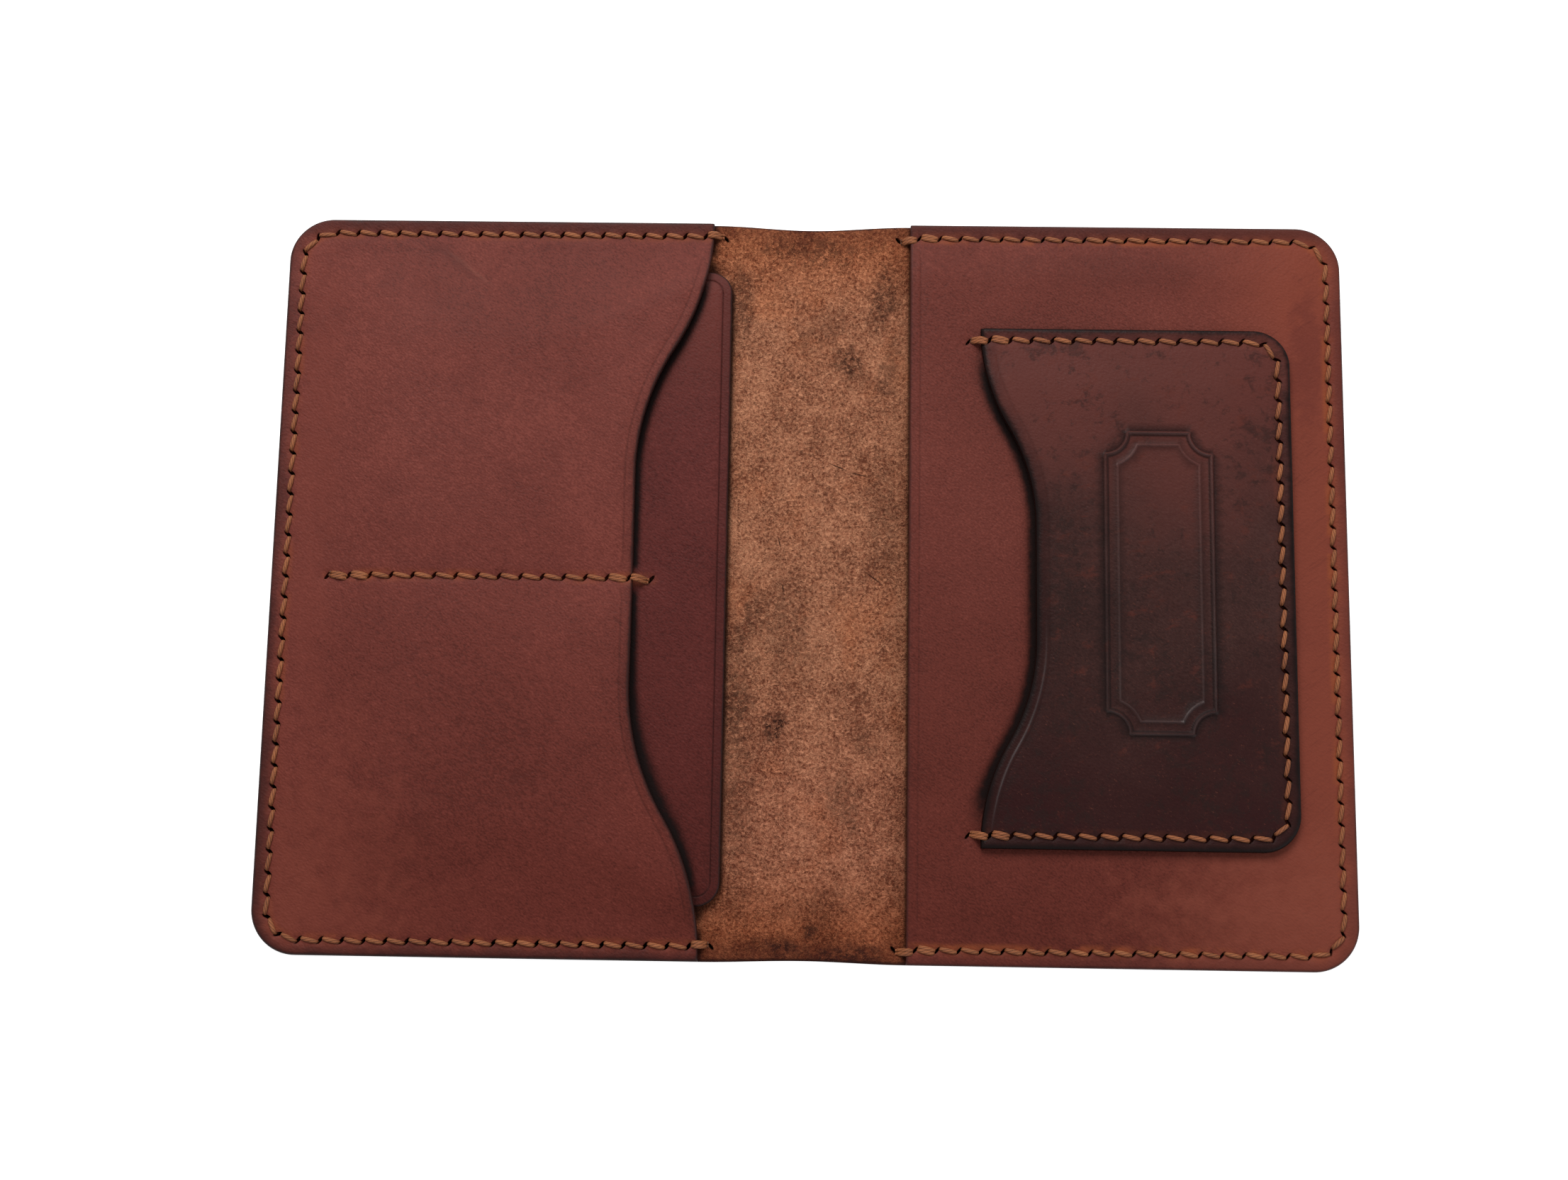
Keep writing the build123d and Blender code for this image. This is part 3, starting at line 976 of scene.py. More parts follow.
def card_tint(finish, tinted):
    """The card pocket: redder and paler towards its top, nearly black towards its foot."""
    drift = (finish.noise(0.045, 3, 0.55) - 0.5) * 55
    high = (finish.axis("Y") + drift).ranged(-6, 44)
    low = 1 - (finish.axis("Y") + drift).ranged(-52, 0)
    tinted = finish.mix(high * 0.85, tinted, (0.1172, 0.0322, 0.0257))
    tinted = finish.mix(low * 0.85, tinted, (0.024, 0.0052, 0.0058))
    blots = (finish.noise(0.42, 5, 0.72, 0.4) + (finish.noise(0.07, 2, 0.5) - 0.5) * 0.5).ranged(0.50, 0.66)
    tinted = finish.mix(blots * 0.55, tinted, (0.0175, 0.0095, 0.0085))
    rusty = finish.noise(0.30, 5, 0.70, 0.3, place=finish.turned(15, (1.6, 1, 1))) - low * 0.06
    tinted = finish.mix(rusty.ranged(0.54, 0.70) * 0.45, tinted, (0.105, 0.0250, 0.0170))
    specks = finish.noise(2.6, 2, 0.6, place=finish.turned(-30, (1.5, 0.9, 1))).ranged(0.62, 0.76)
    return finish.mix(specks * 0.40, tinted, (0.150, 0.0480, 0.0330))


def sleeve_tint(finish, tinted):
    """The sleeve: more orange towards its outer side."""
    drift = (finish.noise(0.05, 3, 0.55) - 0.5) * 30
    outer = (finish.axis("X") + drift).ranged(62, 98)
    tinted = finish.mix(outer * 0.85, tinted, (0.2272, 0.0532, 0.0322))
    streaks = finish.noise(1.0, 4, 0.7, place=finish.turned(38, (5.5, 0.42, 1)))
    tinted = finish.mix(streaks.ranged(0.52, 0.74) * 0.35, tinted, (0.0890, 0.0200, 0.0160))
    return patched(finish, tinted, SLEEVE_PATCHES)


def divider_tint(finish, tinted):
    """The divider: paler where it sticks out at its top."""
    high = (finish.axis("Y") + (finish.noise(0.06, 3, 0.6) - 0.5) * 18).ranged(28, 66)
    return finish.mix(high * 0.7, tinted, (0.158, 0.0390, 0.0300))


def pocket_tint(finish, tinted):
    """The left pocket: redder where it is handled, by its outer corners, with one faint scratch."""
    tinted = patched(finish, tinted, POCKET_PATCHES)
    blots = (finish.noise(0.16, 5, 0.68, 0.5) + (finish.noise(0.03, 2, 0.5) - 0.5) * 0.4).ranged(0.50, 0.72)
    return finish.mix(blots * 0.22, tinted, (0.092, 0.0230, 0.0190))


# Each grain leather: its colour setting, its pattern's shift, its contrast, its tint and its edge work.
HIDES = {
    "pocket_hide": (
        "pocket",
        3.0,
        1.0,
        pocket_tint,
        {"margin": 0.8, "line": 0.34, "soot": 1.8, "broad": 1.25, "fade": 0.5},
    ),
    "divider_hide": (
        "divider",
        57.0,
        1.0,
        divider_tint,
        {"margin": 0.34, "line": 0.62, "dark": 0.97, "soot": 1.6, "broad": 0.8},
    ),
    "sleeve_hide": (
        "sleeve",
        91.0,
        1.0,
        sleeve_tint,
        {"margin": 0.40, "line": 0.35, "worn": 0.9, "dark": 0.55, "soot": 3.0, "slits": 0.5},
    ),
    "card_hide": (
        "card",
        143.0,
        1.3,
        card_tint,
        {
            "margin": 0.95,
            "worn": 0.15,
            "dark": 0.98,
            "soot": 1.1,
            "smoky": 0.95,
            "broad": 2.3,
            "fade": 0.5,
            "gleam": 0.03,
        },
    ),
}
CARD_BURNISH = 0.30


def paint(name):
    """The material of that name, made once."""
    found = bpy.data.materials.get(name)
    if found:
        return found
    group = bpy.context.scene.wallet_colours
    tone = {key: tuple(getattr(group, key)) for key in WalletColours.__annotations__}
    if name in HIDES:
        leather, offset, contrast, tint, edges = HIDES[name]
        burnish = shade(tone["burnish"], CARD_BURNISH) if leather == "card" else tone["burnish"]
        return grain_leather(name, tone[leather], burnish, offset, contrast, tint, **edges)
    if name == "cover_hide":
        return cover_leather(name, tone["suede"], tone["outside"], tone["burnish"])
    if name == "laid_thread":
        return thread_finish(name, tone["thread"])
    return floor_finish(name, tone["floor"])


# ---- The pieces ----


def declare(piece, body, nodes, outline):
    """Rides a sheet of leather on its body, hides the CAD parts that it stands for and works out its flat cut.
    """
    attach(piece, body)
    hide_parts(*nodes)
    declare_cut(outline)


def declare_cut(outline):
    """Works out the width and height of a sheet's flat cut, and does nothing more with them."""
    width, height = (outline.max(axis=0) - outline.min(axis=0)) * MM


# The lines along the fold that the cover's triangles follow, its groove's slope, and the depth of its blind
# slits.
FOLD_LINES = (2.4, 4.75, 7.1, 9.5)
GROOVE_SLOPE = 0.22
WELL_DEPTH = 1.0


def make_cover_half(side, slits, s):
    """Half of the cover, from the fold out, with its flesh side up."""

    def path(inset):
        return sewn_path(0.0, HALF_WIDTH, HALF_HEIGHT, s["corner_radius"], inset) * (side, 1)

    def upright(x, reach):
        return straight((side * x, reach), (side * x, -reach))

    outline = path(0.0)
    half_groove = s["groove_width"] / 2
    groove = (way * (half_groove + out) for way in (-1, 1) for out in (-GROOVE_SLOPE, 0.0, GROOVE_SLOPE))
    lines = [path(inset) for inset in (*RIM_STEPS, *(s["seam_inset"] + across for across in groove))]
    lines += [upright(x, HALF_HEIGHT - 0.8) for x in FOLD_LINES]
    if side > 0:
        lines += [upright(SLEEVE_LOW[0] - out, HALF_HEIGHT - 4.6) for out in BESIDE_STEPS]
    else:
        lines += [upright(-DIVIDER_HIGH[0] - out, 58.0) for out in BESIDE_STEPS]
    lines += [closed(hole) for hole in slit_holes(slits, s)]
    wells = well_spots(slits, s)
    points, faces = fill(outline, lines, [], np.concatenate([slit_spots(slits, s), wells]), 1.9)
    x, y = points.T
    depth = plate_depth(x, y, HALF_WIDTH, HALF_HEIGHT, s["corner_radius"])
    pull, near = slit_marks(x, y, slits, s)
    sunk = np.min([np.hypot(x - wx, y - wy) for wx, wy in wells], axis=0) < 0.02
    top = COVER_TOP - rounding(depth, 0.55, 0.45) - 0.6 * pull - WELL_DEPTH * sunk
    from_seam = np.abs(depth - s["seam_inset"])
    seam_start = SLEEVE_LOW[0] - s["seam_overrun"]
    open_end = smooth(np.abs(x), seam_start - 1.4, seam_start - 0.7)
    filled = smooth(from_seam, half_groove - GROOVE_SLOPE, half_groove + GROOVE_SLOPE)
    bottom = rounding(depth, 0.6, 0.55) + s["groove_depth"] * (1 - filled) * open_end
    # Painted shade on the suede beside the sleeve's free edge, along the divider's edge and under the ends of
    # the left mouth.
    if side > 0:
        free_edge = straight((SLEEVE_LOW[0], -HALF_HEIGHT), (SLEEVE_LOW[0], HALF_HEIGHT))
        shelter = 0.75 * bell(line_distance(x, y, free_edge), 0.45)
    else:
        far, high = DIVIDER_HIGH[:2]
        divider = plate_depth(x, y, far, high, s["divider_corner"], DIVIDER_LOW[0])
        ends = bell(line_distance(x, y, left_mouth(s)), 0.7) * smooth(np.abs(y), high - 3.0, high)
        shelter = np.maximum(ends, 0.9 * bell(divider, 0.5))
    outer = (np.zeros(len(x)), np.ones(len(x)))
    marks = {**both_faces(rim=depth, slit=near), **upper_face(shelter=shelter), "outer": outer}

    def waist(points):
        """The bare spine draws in a little at both ends."""
        x, y = points.T
        share = np.where(np.abs(x) < SLEEVE_LOW[0], (1 + np.cos(np.pi * x / SLEEVE_LOW[0])) / 2, 0)
        drawn = np.where(y > 0, 0.85, -0.45) * share * smooth(np.abs(y), 40, HALF_HEIGHT)
        return np.stack([x, y - drawn], axis=1)

    name = "cover_right_half" if side > 0 else "cover_left_half"
    piece = sheet_mesh(name, points, faces, top, bottom, marks, paint("cover_hide"), waist)
    return piece, outline


class WALLET_OT_cover(Operator):
    """Makes the cover as two halves that meet at the fold"""

    bl_idname = "wallet.make_cover"
    bl_label = "Cover"

    def execute(self, context):
        s, slits = sizes(), seam_slits()
        s["slit_length"] *= COVER_SLIT_LENGTH
        halves = (
            (1, "right_half", ["cover_right_panel", "cover_spine"]),
            (-1, "left_half", ["cover_left_panel"]),
        )
        for side, body, nodes in halves:
            piece, outline = make_cover_half(side, slits["right" if side > 0 else "left"], s)
            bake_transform(piece)
            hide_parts(*nodes)
            declare_cut(outline)
        return {"FINISHED"}


def crease_lines(path, at, limit, width=0.16):
    """Lines that let the leather follow a creased line at a distance from a free edge."""
    return [clipped(path(at + step * width), limit) for step in CREASE_STEPS]


class WALLET_OT_left_pocket(Operator):
    """Makes the left pocket: sewn down round its outer side, with a curved, gaping mouth"""

    bl_idname = "wallet.make_left_pocket"
    bl_label = "Left pocket"

    def execute(self, context):
        s, slits = sizes(), seam_slits()
        s["slit_length"] *= POCKET_SLIT_LENGTH
        edge = -POCKET_HIGH[0]
        margin = s["sewn_margin"]

        def sewn(inset):
            return mirrored(sewn_path(edge, HALF_WIDTH, HALF_HEIGHT, s["corner_radius"], inset))

        def mouth(inset):
            return left_mouth(s, inset)

        lip_line = mouth(0.0)
        deepest = lip_line[:, 0].min()
        first, last = slits["centre"][0][0], slits["centre"][-1][0]
        outline = chain(sewn(0.0), lip_line)[:-1]
        lines = [sewn(inset) for inset in (*RIM_STEPS, margin, margin + s["margin_slope"])]
        lines += [mouth(inset) for inset in LIP_STEPS]
        lines += crease_lines(mouth, LEFT_CREASE, 65.0)
        lines += [straight((first - 1, y), (deepest - 1.5, y), 0.8) for y in (-1.6, -0.9, 0.9, 1.6)]
        own_slits = slits["left"][np.abs(slits["left"][:, 0]) > edge]
        inner_slits = slits["centre"][slits["centre"][:, 0] < deepest]
        holes_at = np.concatenate([own_slits, inner_slits])
        points, faces, pull, near = pierced(outline, lines, holes_at, s, 1.5)
        x, y = points.T
        depth = plate_depth(x, y, HALF_WIDTH, HALF_HEIGHT, s["corner_radius"])
        lip = line_distance(x, y, lip_line)
        rim = np.minimum(depth, lip)
        low, high = COVER_TOP + POCKET_THICK, POCKET_HIGH[2]
        rise = pocket_rise(x, y, lip)
        height = low + (high - low) * rise
        swing = np.sin(np.pi * np.clip((np.abs(y) - 1.0) / 60.0, 0, 1)) ** 1.3
        height += s["mouth_gape"] * swing * np.exp(-lip / 8.0)
        inner = smooth(x, first - 12, first + 4)
        height -= 0.42 * bell(y, 7.0) * inner * rise
        height += 0.14 * unevenness(x, y, 0.4) * rise**3
        from_centre = np.hypot(y, np.clip(first - x, 0, None) + np.clip(x - last, 0, None))
        seam = np.minimum(np.abs(depth - s["seam_inset"]), from_centre)
        crease = bell(lip - LEFT_CREASE, 0.17) * smooth(-np.abs(y), -65.5, -60) * smooth(np.abs(y), 1.5, 5.0)
        top = height - SEAM_SINK * bell(seam, 0.85) - pull - 0.6 * s["crease_depth"] * crease
        top -= rounding(lip, 0.60, 0.48) + 0.05 * bell(lip - 0.54, 0.12)
        top -= rounding(depth, 0.55, 0.50)
        bottom = height - POCKET_THICK + 0.02 + rounding(rim, 0.45, 0.35)
        marks = {**both_faces(rim=rim, slit=near, seam=seam, border=depth), **upper_face(crease=crease)}
        piece = sheet_mesh("left_pocket", points, faces, top, bottom, marks, paint("pocket_hide"))
        nodes = ["left_pocket_panel", "left_pocket_sewn_edge"]
        declare(piece, "left_half", nodes, outline)
        return {"FINISHED"}


class WALLET_OT_divider(Operator):
    """Makes the divider that lies inside the left pocket"""

    bl_idname = "wallet.make_divider"
    bl_label = "Divider"

    def execute(self, context):
        s, slits = sizes(), seam_slits()
        left, right, half, radius = DIVIDER_LOW[0], DIVIDER_HIGH[0], DIVIDER_HIGH[1], s["divider_corner"]
        middle = (left + right) / 2

        def ring(inset):
            side = sewn_path(0.0, (right - left) / 2, half, radius, inset)
            return chain(side, -side)[:-1] + (middle, 0)

        outline = ring(0.0)
        crease_at = (DIVIDER_CREASE + shift for shift in (-0.35, -0.14, 0, 0.14, 0.35))
        lines = [closed(ring(inset)) for inset in (*RIM_STEPS, *crease_at)]
        lines += [clipped(left_mouth(s, inset), 58.0) for inset in SHADE_STEPS]
        holes_at = slits["centre"][-2:]
        points, faces, pull, near = pierced(outline, lines, holes_at, s, 2.0)
        x, y = points.T
        depth = plate_depth(x, y, right, half, radius, left)
        seam = np.hypot(y, np.clip(x - holes_at[-1][0], 0, None))
        crease = bell(depth - DIVIDER_CREASE, 0.13) * smooth(x, right - 30, right - 20)
        second = 0.3 * bell(depth - DIVIDER_CREASE + 0.5, 0.12) * smooth(x, right - 30, right - 20)
        deep = plate_depth(x, y, HALF_WIDTH, HALF_HEIGHT, s["corner_radius"])
        hidden = smooth(-x, -(right - 30), -(right - 42))
        settled = 1 - smooth(deep, 8.5, 14.0 + 15.0 * hidden)
        skived = 0.80 * hidden * (1 - smooth(depth, -1.0, 10.0))
        height = DIVIDER_HIGH[2] + 0.10 * unevenness(x, y, 2.2) * smooth(depth, 0, 12) - 0.76 * settled
        top = height - rounding(depth, 0.24, 0.30) - s["crease_depth"] * (crease + second) - pull
        top -= skived
        bottom = height - DIVIDER_THICK + rounding(depth, 0.4, 0.3)
        # Painted shade on the divider where the left mouth's lip overhangs it.
        shelter = painted_shade_level(x, y, left_mouth(s), 66.0, 1.15 + 1.2 * bell(y + 37.0, 15.0))
        shelter *= smooth(np.abs(y), 1.0, 3.0)
        marks = both_faces(rim=depth, slit=near, seam=seam, border=depth)
        marks.update(upper_face(crease=crease + second, shelter=shelter))
        piece = sheet_mesh("divider", points, faces, top, bottom, marks, paint("divider_hide"))
        declare(piece, "left_half", ["divider_panel"], outline)
        return {"FINISHED"}


class WALLET_OT_sleeve(Operator):
    """Makes the full-height sleeve of the right half"""

    bl_idname = "wallet.make_sleeve"
    bl_label = "Sleeve"

    def execute(self, context):
        s, slits = sizes(), seam_slits()
        s["slit_length"] *= SLEEVE_SLIT_LENGTH
        s["slit_width"] *= SLEEVE_SLIT_WIDTH
        edge = SLEEVE_LOW[0]
        margin = s["sewn_margin"]

        def sewn(inset):
            return sewn_path(edge, HALF_WIDTH, HALF_HEIGHT, s["corner_radius"], inset)

        def free(inset):
            return straight((edge + inset, -HALF_HEIGHT), (edge + inset, HALF_HEIGHT), 1.0)

        outline = chain(sewn(0.0), free(0.0))[:-1]
        lines = [sewn(inset) for inset in (*RIM_STEPS, margin, margin + s["margin_slope"])]
        lines += [free(inset) for inset in RIM_STEPS]
        lines += crease_lines(free, SLEEVE_CREASE, 66.0, 0.13)
        lines += [clipped(card_mouth(s, inset), CARD_HALF_HEIGHT - 3.6) for inset in SHADE_STEPS]
        card_ends = slits["card"][[0, 1, -2, -1]]
        own_slits = slits["right"][slits["right"][:, 0] > edge]
        holes_at = np.concatenate([own_slits, card_ends])
        points, faces, pull, near = pierced(outline, lines, holes_at, s, 1.8)
        x, y = points.T
        depth = plate_depth(x, y, HALF_WIDTH, HALF_HEIGHT, s["corner_radius"])
        lip = x - edge
        rim = np.minimum(depth, lip)
        low, high = COVER_TOP + SLEEVE_THICK, SLEEVE_HIGH[2]
        start, stop = margin - 1.8, margin + s["margin_slope"] + 3.5
        rise = smooth(HALF_WIDTH - x, start, stop) * smooth(HALF_HEIGHT - np.abs(y), start, stop)
        card_depth = plate_depth(x, y, CARD_HIGH[0], CARD_HALF_HEIGHT, s["card_corner_radius"], CARD_LOW[0])
        under_card = smooth(card_depth, -9.0, 0.5)
        height = low + (high - low) * rise
        height += 0.13 * unevenness(x, y, 4.9) * rise * (1 - under_card) - 0.03 * under_card
        seam = np.abs(depth - s["seam_inset"])
        crease = 0.8 * bell(lip - SLEEVE_CREASE, 0.14) * smooth(-np.abs(y), -66.0, -62)
        top = height - SEAM_SINK * bell(seam, 0.85) - pull - 0.7 * s["crease_depth"] * crease
        top -= rounding(lip, 0.35, 0.35) + rounding(depth, 0.55, 0.50)
        bottom = height - SLEEVE_THICK + 0.02 + rounding(rim, 0.45, 0.35)
        # Painted shade on the sleeve where the card mouth's lip overhangs it.
        shelter = painted_shade_level(x, y, card_mouth(s), CARD_HALF_HEIGHT, 1.5 + 1.1 * bell(y + 43.0, 6.0))
        marks = both_faces(rim=rim, slit=near, seam=seam, border=depth)
        marks.update(upper_face(crease=crease, shelter=shelter))
        piece = sheet_mesh("sleeve", points, faces, top, bottom, marks, paint("sleeve_hide"))
        nodes = ["sleeve_panel", "sleeve_sewn_edge"]
        declare(piece, "right_half", nodes, outline)
        return {"FINISHED"}


class WALLET_OT_card_pocket(Operator):
    """Makes the card pocket sewn on the sleeve, with a plain stamped frame on it"""

    bl_idname = "wallet.make_card_pocket"
    bl_label = "Card pocket"

    def execute(self, context):
        s, slits = sizes(), seam_slits()
        edge, right, half, radius = CARD_LOW[0], CARD_HIGH[0], CARD_HALF_HEIGHT, s["card_corner_radius"]
        margin = s["card_margin"]

        def sewn(inset):
            return sewn_path(edge, right, half, radius, inset)

        def mouth(inset):
            return card_mouth(s, inset)

        lip_line = mouth(0.0)
        outline = chain(sewn(0.0), lip_line)[:-1]
        lines = [sewn(inset) for inset in (*RIM_STEPS, margin, margin + s["card_slope"])]
        lines += [mouth(inset) for inset in LIP_STEPS]
        lines += crease_lines(mouth, CARD_FOLD, 46.0)
        lines += crease_lines(mouth, CARD_CREASE, 46.0)
        lines += [closed(stamp_line(inset)) for inset in STAMP_STEPS]
        stamp, inner = stamp_line(), stamp_line(STAMP_INNER)
        holes_at = slits["card"][slits["card"][:, 0] > edge]
        points, faces, pull, near = pierced(outline, lines, holes_at, s, 1.35)
        x, y = points.T
        depth = plate_depth(x, y, right, half, radius, edge - 30)
        lip = line_distance(x, y, lip_line)
        rim = np.minimum(depth, lip)
        low, high = SLEEVE_HIGH[2] + CARD_THICK, CARD_HIGH[2]
        start, stop = margin - 1.4, margin + s["card_slope"] + 7.0
        rise = smooth(right - x, start, stop) * smooth(half - np.abs(y), start, stop)
        height = low + (high - low) * rise
        swing = np.cos(np.pi / 2 * np.clip(np.abs(y) / 44.0, 0, 1)) ** 0.8
        height += s["card_gape"] * swing * np.exp(-lip / 9.0)
        height += 0.08 * unevenness(x, y, 7.7) * rise * smooth(lip, 6, 16)
        seam = np.abs(depth - s["card_seam_inset"])
        crease = bell(lip - CARD_CREASE, 0.20) * smooth(-np.abs(y), -46.0, -42)
        ridge_at = line_distance(x, y, closed(stamp))
        inner_at = line_distance(x, y, closed(inner))
        within = inside(points, stamp)
        ridge = 0.42 * bell(ridge_at, 0.24) + 0.20 * bell(inner_at, 0.18)
        worn_fold = bell(lip - CARD_FOLD, 0.14) * smooth(-y, 4.0, 20.0) * smooth(y, -48.5, -41.0)
        ridge += 0.12 * worn_fold
        sunk = 0.18 * smooth(ridge_at, 0.2, 0.8) * within + 0.12 * bell(ridge_at - 0.55, 0.25) * ~within
        top = height - SEAM_SINK * bell(seam, 0.85) - pull - 0.5 * s["crease_depth"] * crease + ridge - sunk
        top -= rounding(lip, 1.1, 0.78)
        top -= rounding(depth, 0.6, 0.55)
        bottom = height - CARD_THICK + 0.02 + rounding(rim, 0.45, 0.35)
        shadow = np.maximum(1.6 * bell(ridge_at - 0.42, 0.20), 0.9 * bell(inner_at - 0.36, 0.15))
        crest = np.maximum(bell(ridge_at, 0.26), 0.6 * bell(inner_at, 0.20)) + 0.9 * worn_fold
        marks = both_faces(rim=rim, slit=near, seam=seam, border=depth)
        # The crease mark carries the painted shadow beside the stamped ridges as well as the crease.
        marks.update(upper_face(crease=np.maximum(0.3 * crease, shadow), crest=crest))
        piece = sheet_mesh("card_pocket", points, faces, top, bottom, marks, paint("card_hide"))
        nodes = ["card_pocket_panel", "card_pocket_sewn_edge"]
        declare(piece, "right_half", nodes, outline)
        return {"FINISHED"}


# The stamped frame: its middle, half sizes and scooped corners, how far in its second line lies, and the
# insets at which the triangles follow both.
STAMP_MIDDLE = (66.0, 0.4)
STAMP_HALF = (10.0, 28.6)
STAMP_SCOOP = 4.2
STAMP_INNER = 2.3
STAMP_STEPS = (-0.45, -0.22, 0.0, 0.22, 0.45, 0.8, 2.0, 2.16, 2.3, 2.44, 2.6)


def stamp_line(inset=0.0):
    """The stamped frame: a tall plate whose corners are scooped out, drawn in by inset."""
    (cx, cy), (w, h), radius = STAMP_MIDDLE, STAMP_HALF, STAMP_SCOOP + inset
    turn = math.degrees(math.asin(inset / radius))
    reach = math.sqrt(radius**2 - inset**2)
    right, top = w - inset, h - inset
    runs = [
        straight((right, reach - h), (right, h - reach), 0.6),
        arc((w, h), radius, 270 - turn, 180 + turn, 0.35),
        straight((w - reach, top), (reach - w, top), 0.6),
        arc((-w, h), radius, -turn, turn - 90, 0.35),
        straight((-right, h - reach), (-right, reach - h), 0.6),
        arc((-w, -h), radius, 90 - turn, turn, 0.35),
        straight((reach - w, -top), (w - reach, -top), 0.6),
        arc((w, -h), radius, 180 - turn, 90 + turn, 0.35),
    ]
    return chain(*runs)[:-1] + (cx, cy)


# ---- Seams ----


def stitch_object(width, height, reach, leg):
    """One stitch of thread: a run along X between two legs that go down through the leather."""
    sides = 9
    stations = np.array(
        [
            (0.0, -leg, 0.55),
            (0.0, -0.40, 0.66),
            (0.20, 0.02, 0.84),
            (0.80, 0.15, 0.98),
            (reach / 2, 0.19, 1.04),
            (reach - 0.80, 0.15, 0.98),
            (reach - 0.20, 0.02, 0.84),
            (reach, -0.40, 0.66),
            (reach, -leg, 0.55),
        ]
    )
    along = np.gradient(stations[:, :2], axis=0)
    along /= np.linalg.norm(along, axis=1)[:, None]
    run = np.concatenate([[0], np.cumsum(np.linalg.norm(np.diff(stations[:, :2], axis=0), axis=1))])
    turns = 2 * np.pi * np.arange(sides) / sides
    verts, share = [], []
    for (x, z, size), (ax, az) in zip(stations, along):
        across, up = np.cos(turns) * width / 2 * size, np.sin(turns) * height / 2 * size
        verts.append(np.stack([x - az * up, across, z + ax * up], axis=1) * MM)
        share += [x / reach] * sides
    faces, lay = [], []
    for ring in range(len(stations) - 1):
        for side in range(sides):
            a, b = ring * sides + side, ring * sides + (side + 1) % sides
            low, high = side / sides, (side + 1) / sides
            faces.append((a, b, b + sides, a + sides))
            lay += [(run[ring], low), (run[ring], high), (run[ring + 1], high), (run[ring + 1], low)]
    last = (len(stations) - 1) * sides
    faces += [tuple(reversed(range(sides))), tuple(range(last, last + sides))]
    lay += [(run[0], 0.5)] * sides + [(run[-1], 0.5)] * sides
    mesh = bpy.data.meshes.new("stitch")
    mesh.from_pydata(np.concatenate(verts), [], faces)
    mesh.uv_layers.new(name="lay").data.foreach_set("uv", np.array(lay, np.float32).ravel())
    mesh.attributes.new("share", "FLOAT", "POINT").data.foreach_set("value", np.array(share, np.float32))
    mesh.polygons.foreach_set("use_smooth", [True] * len(faces))
    return bpy.data.objects.new("stitch", mesh)


SEAM_INPUTS = (
    ("Slits", "NodeSocketObject"),
    ("Stitch", "NodeSocketObject"),
    ("Stitch Length", "NodeSocketFloat"),
    ("Thread Reach", "NodeSocketFloat"),
    ("Slit Clearance", "NodeSocketFloat"),
    ("Back Level", "NodeSocketFloat"),
    ("Doubled Stitches", "NodeSocketInt"),
    ("Doubled Spread", "NodeSocketFloat"),
    ("Unevenness", "NodeSocketFloat"),
    ("Seed", "NodeSocketInt"),
    ("Material", "NodeSocketMaterial"),
)


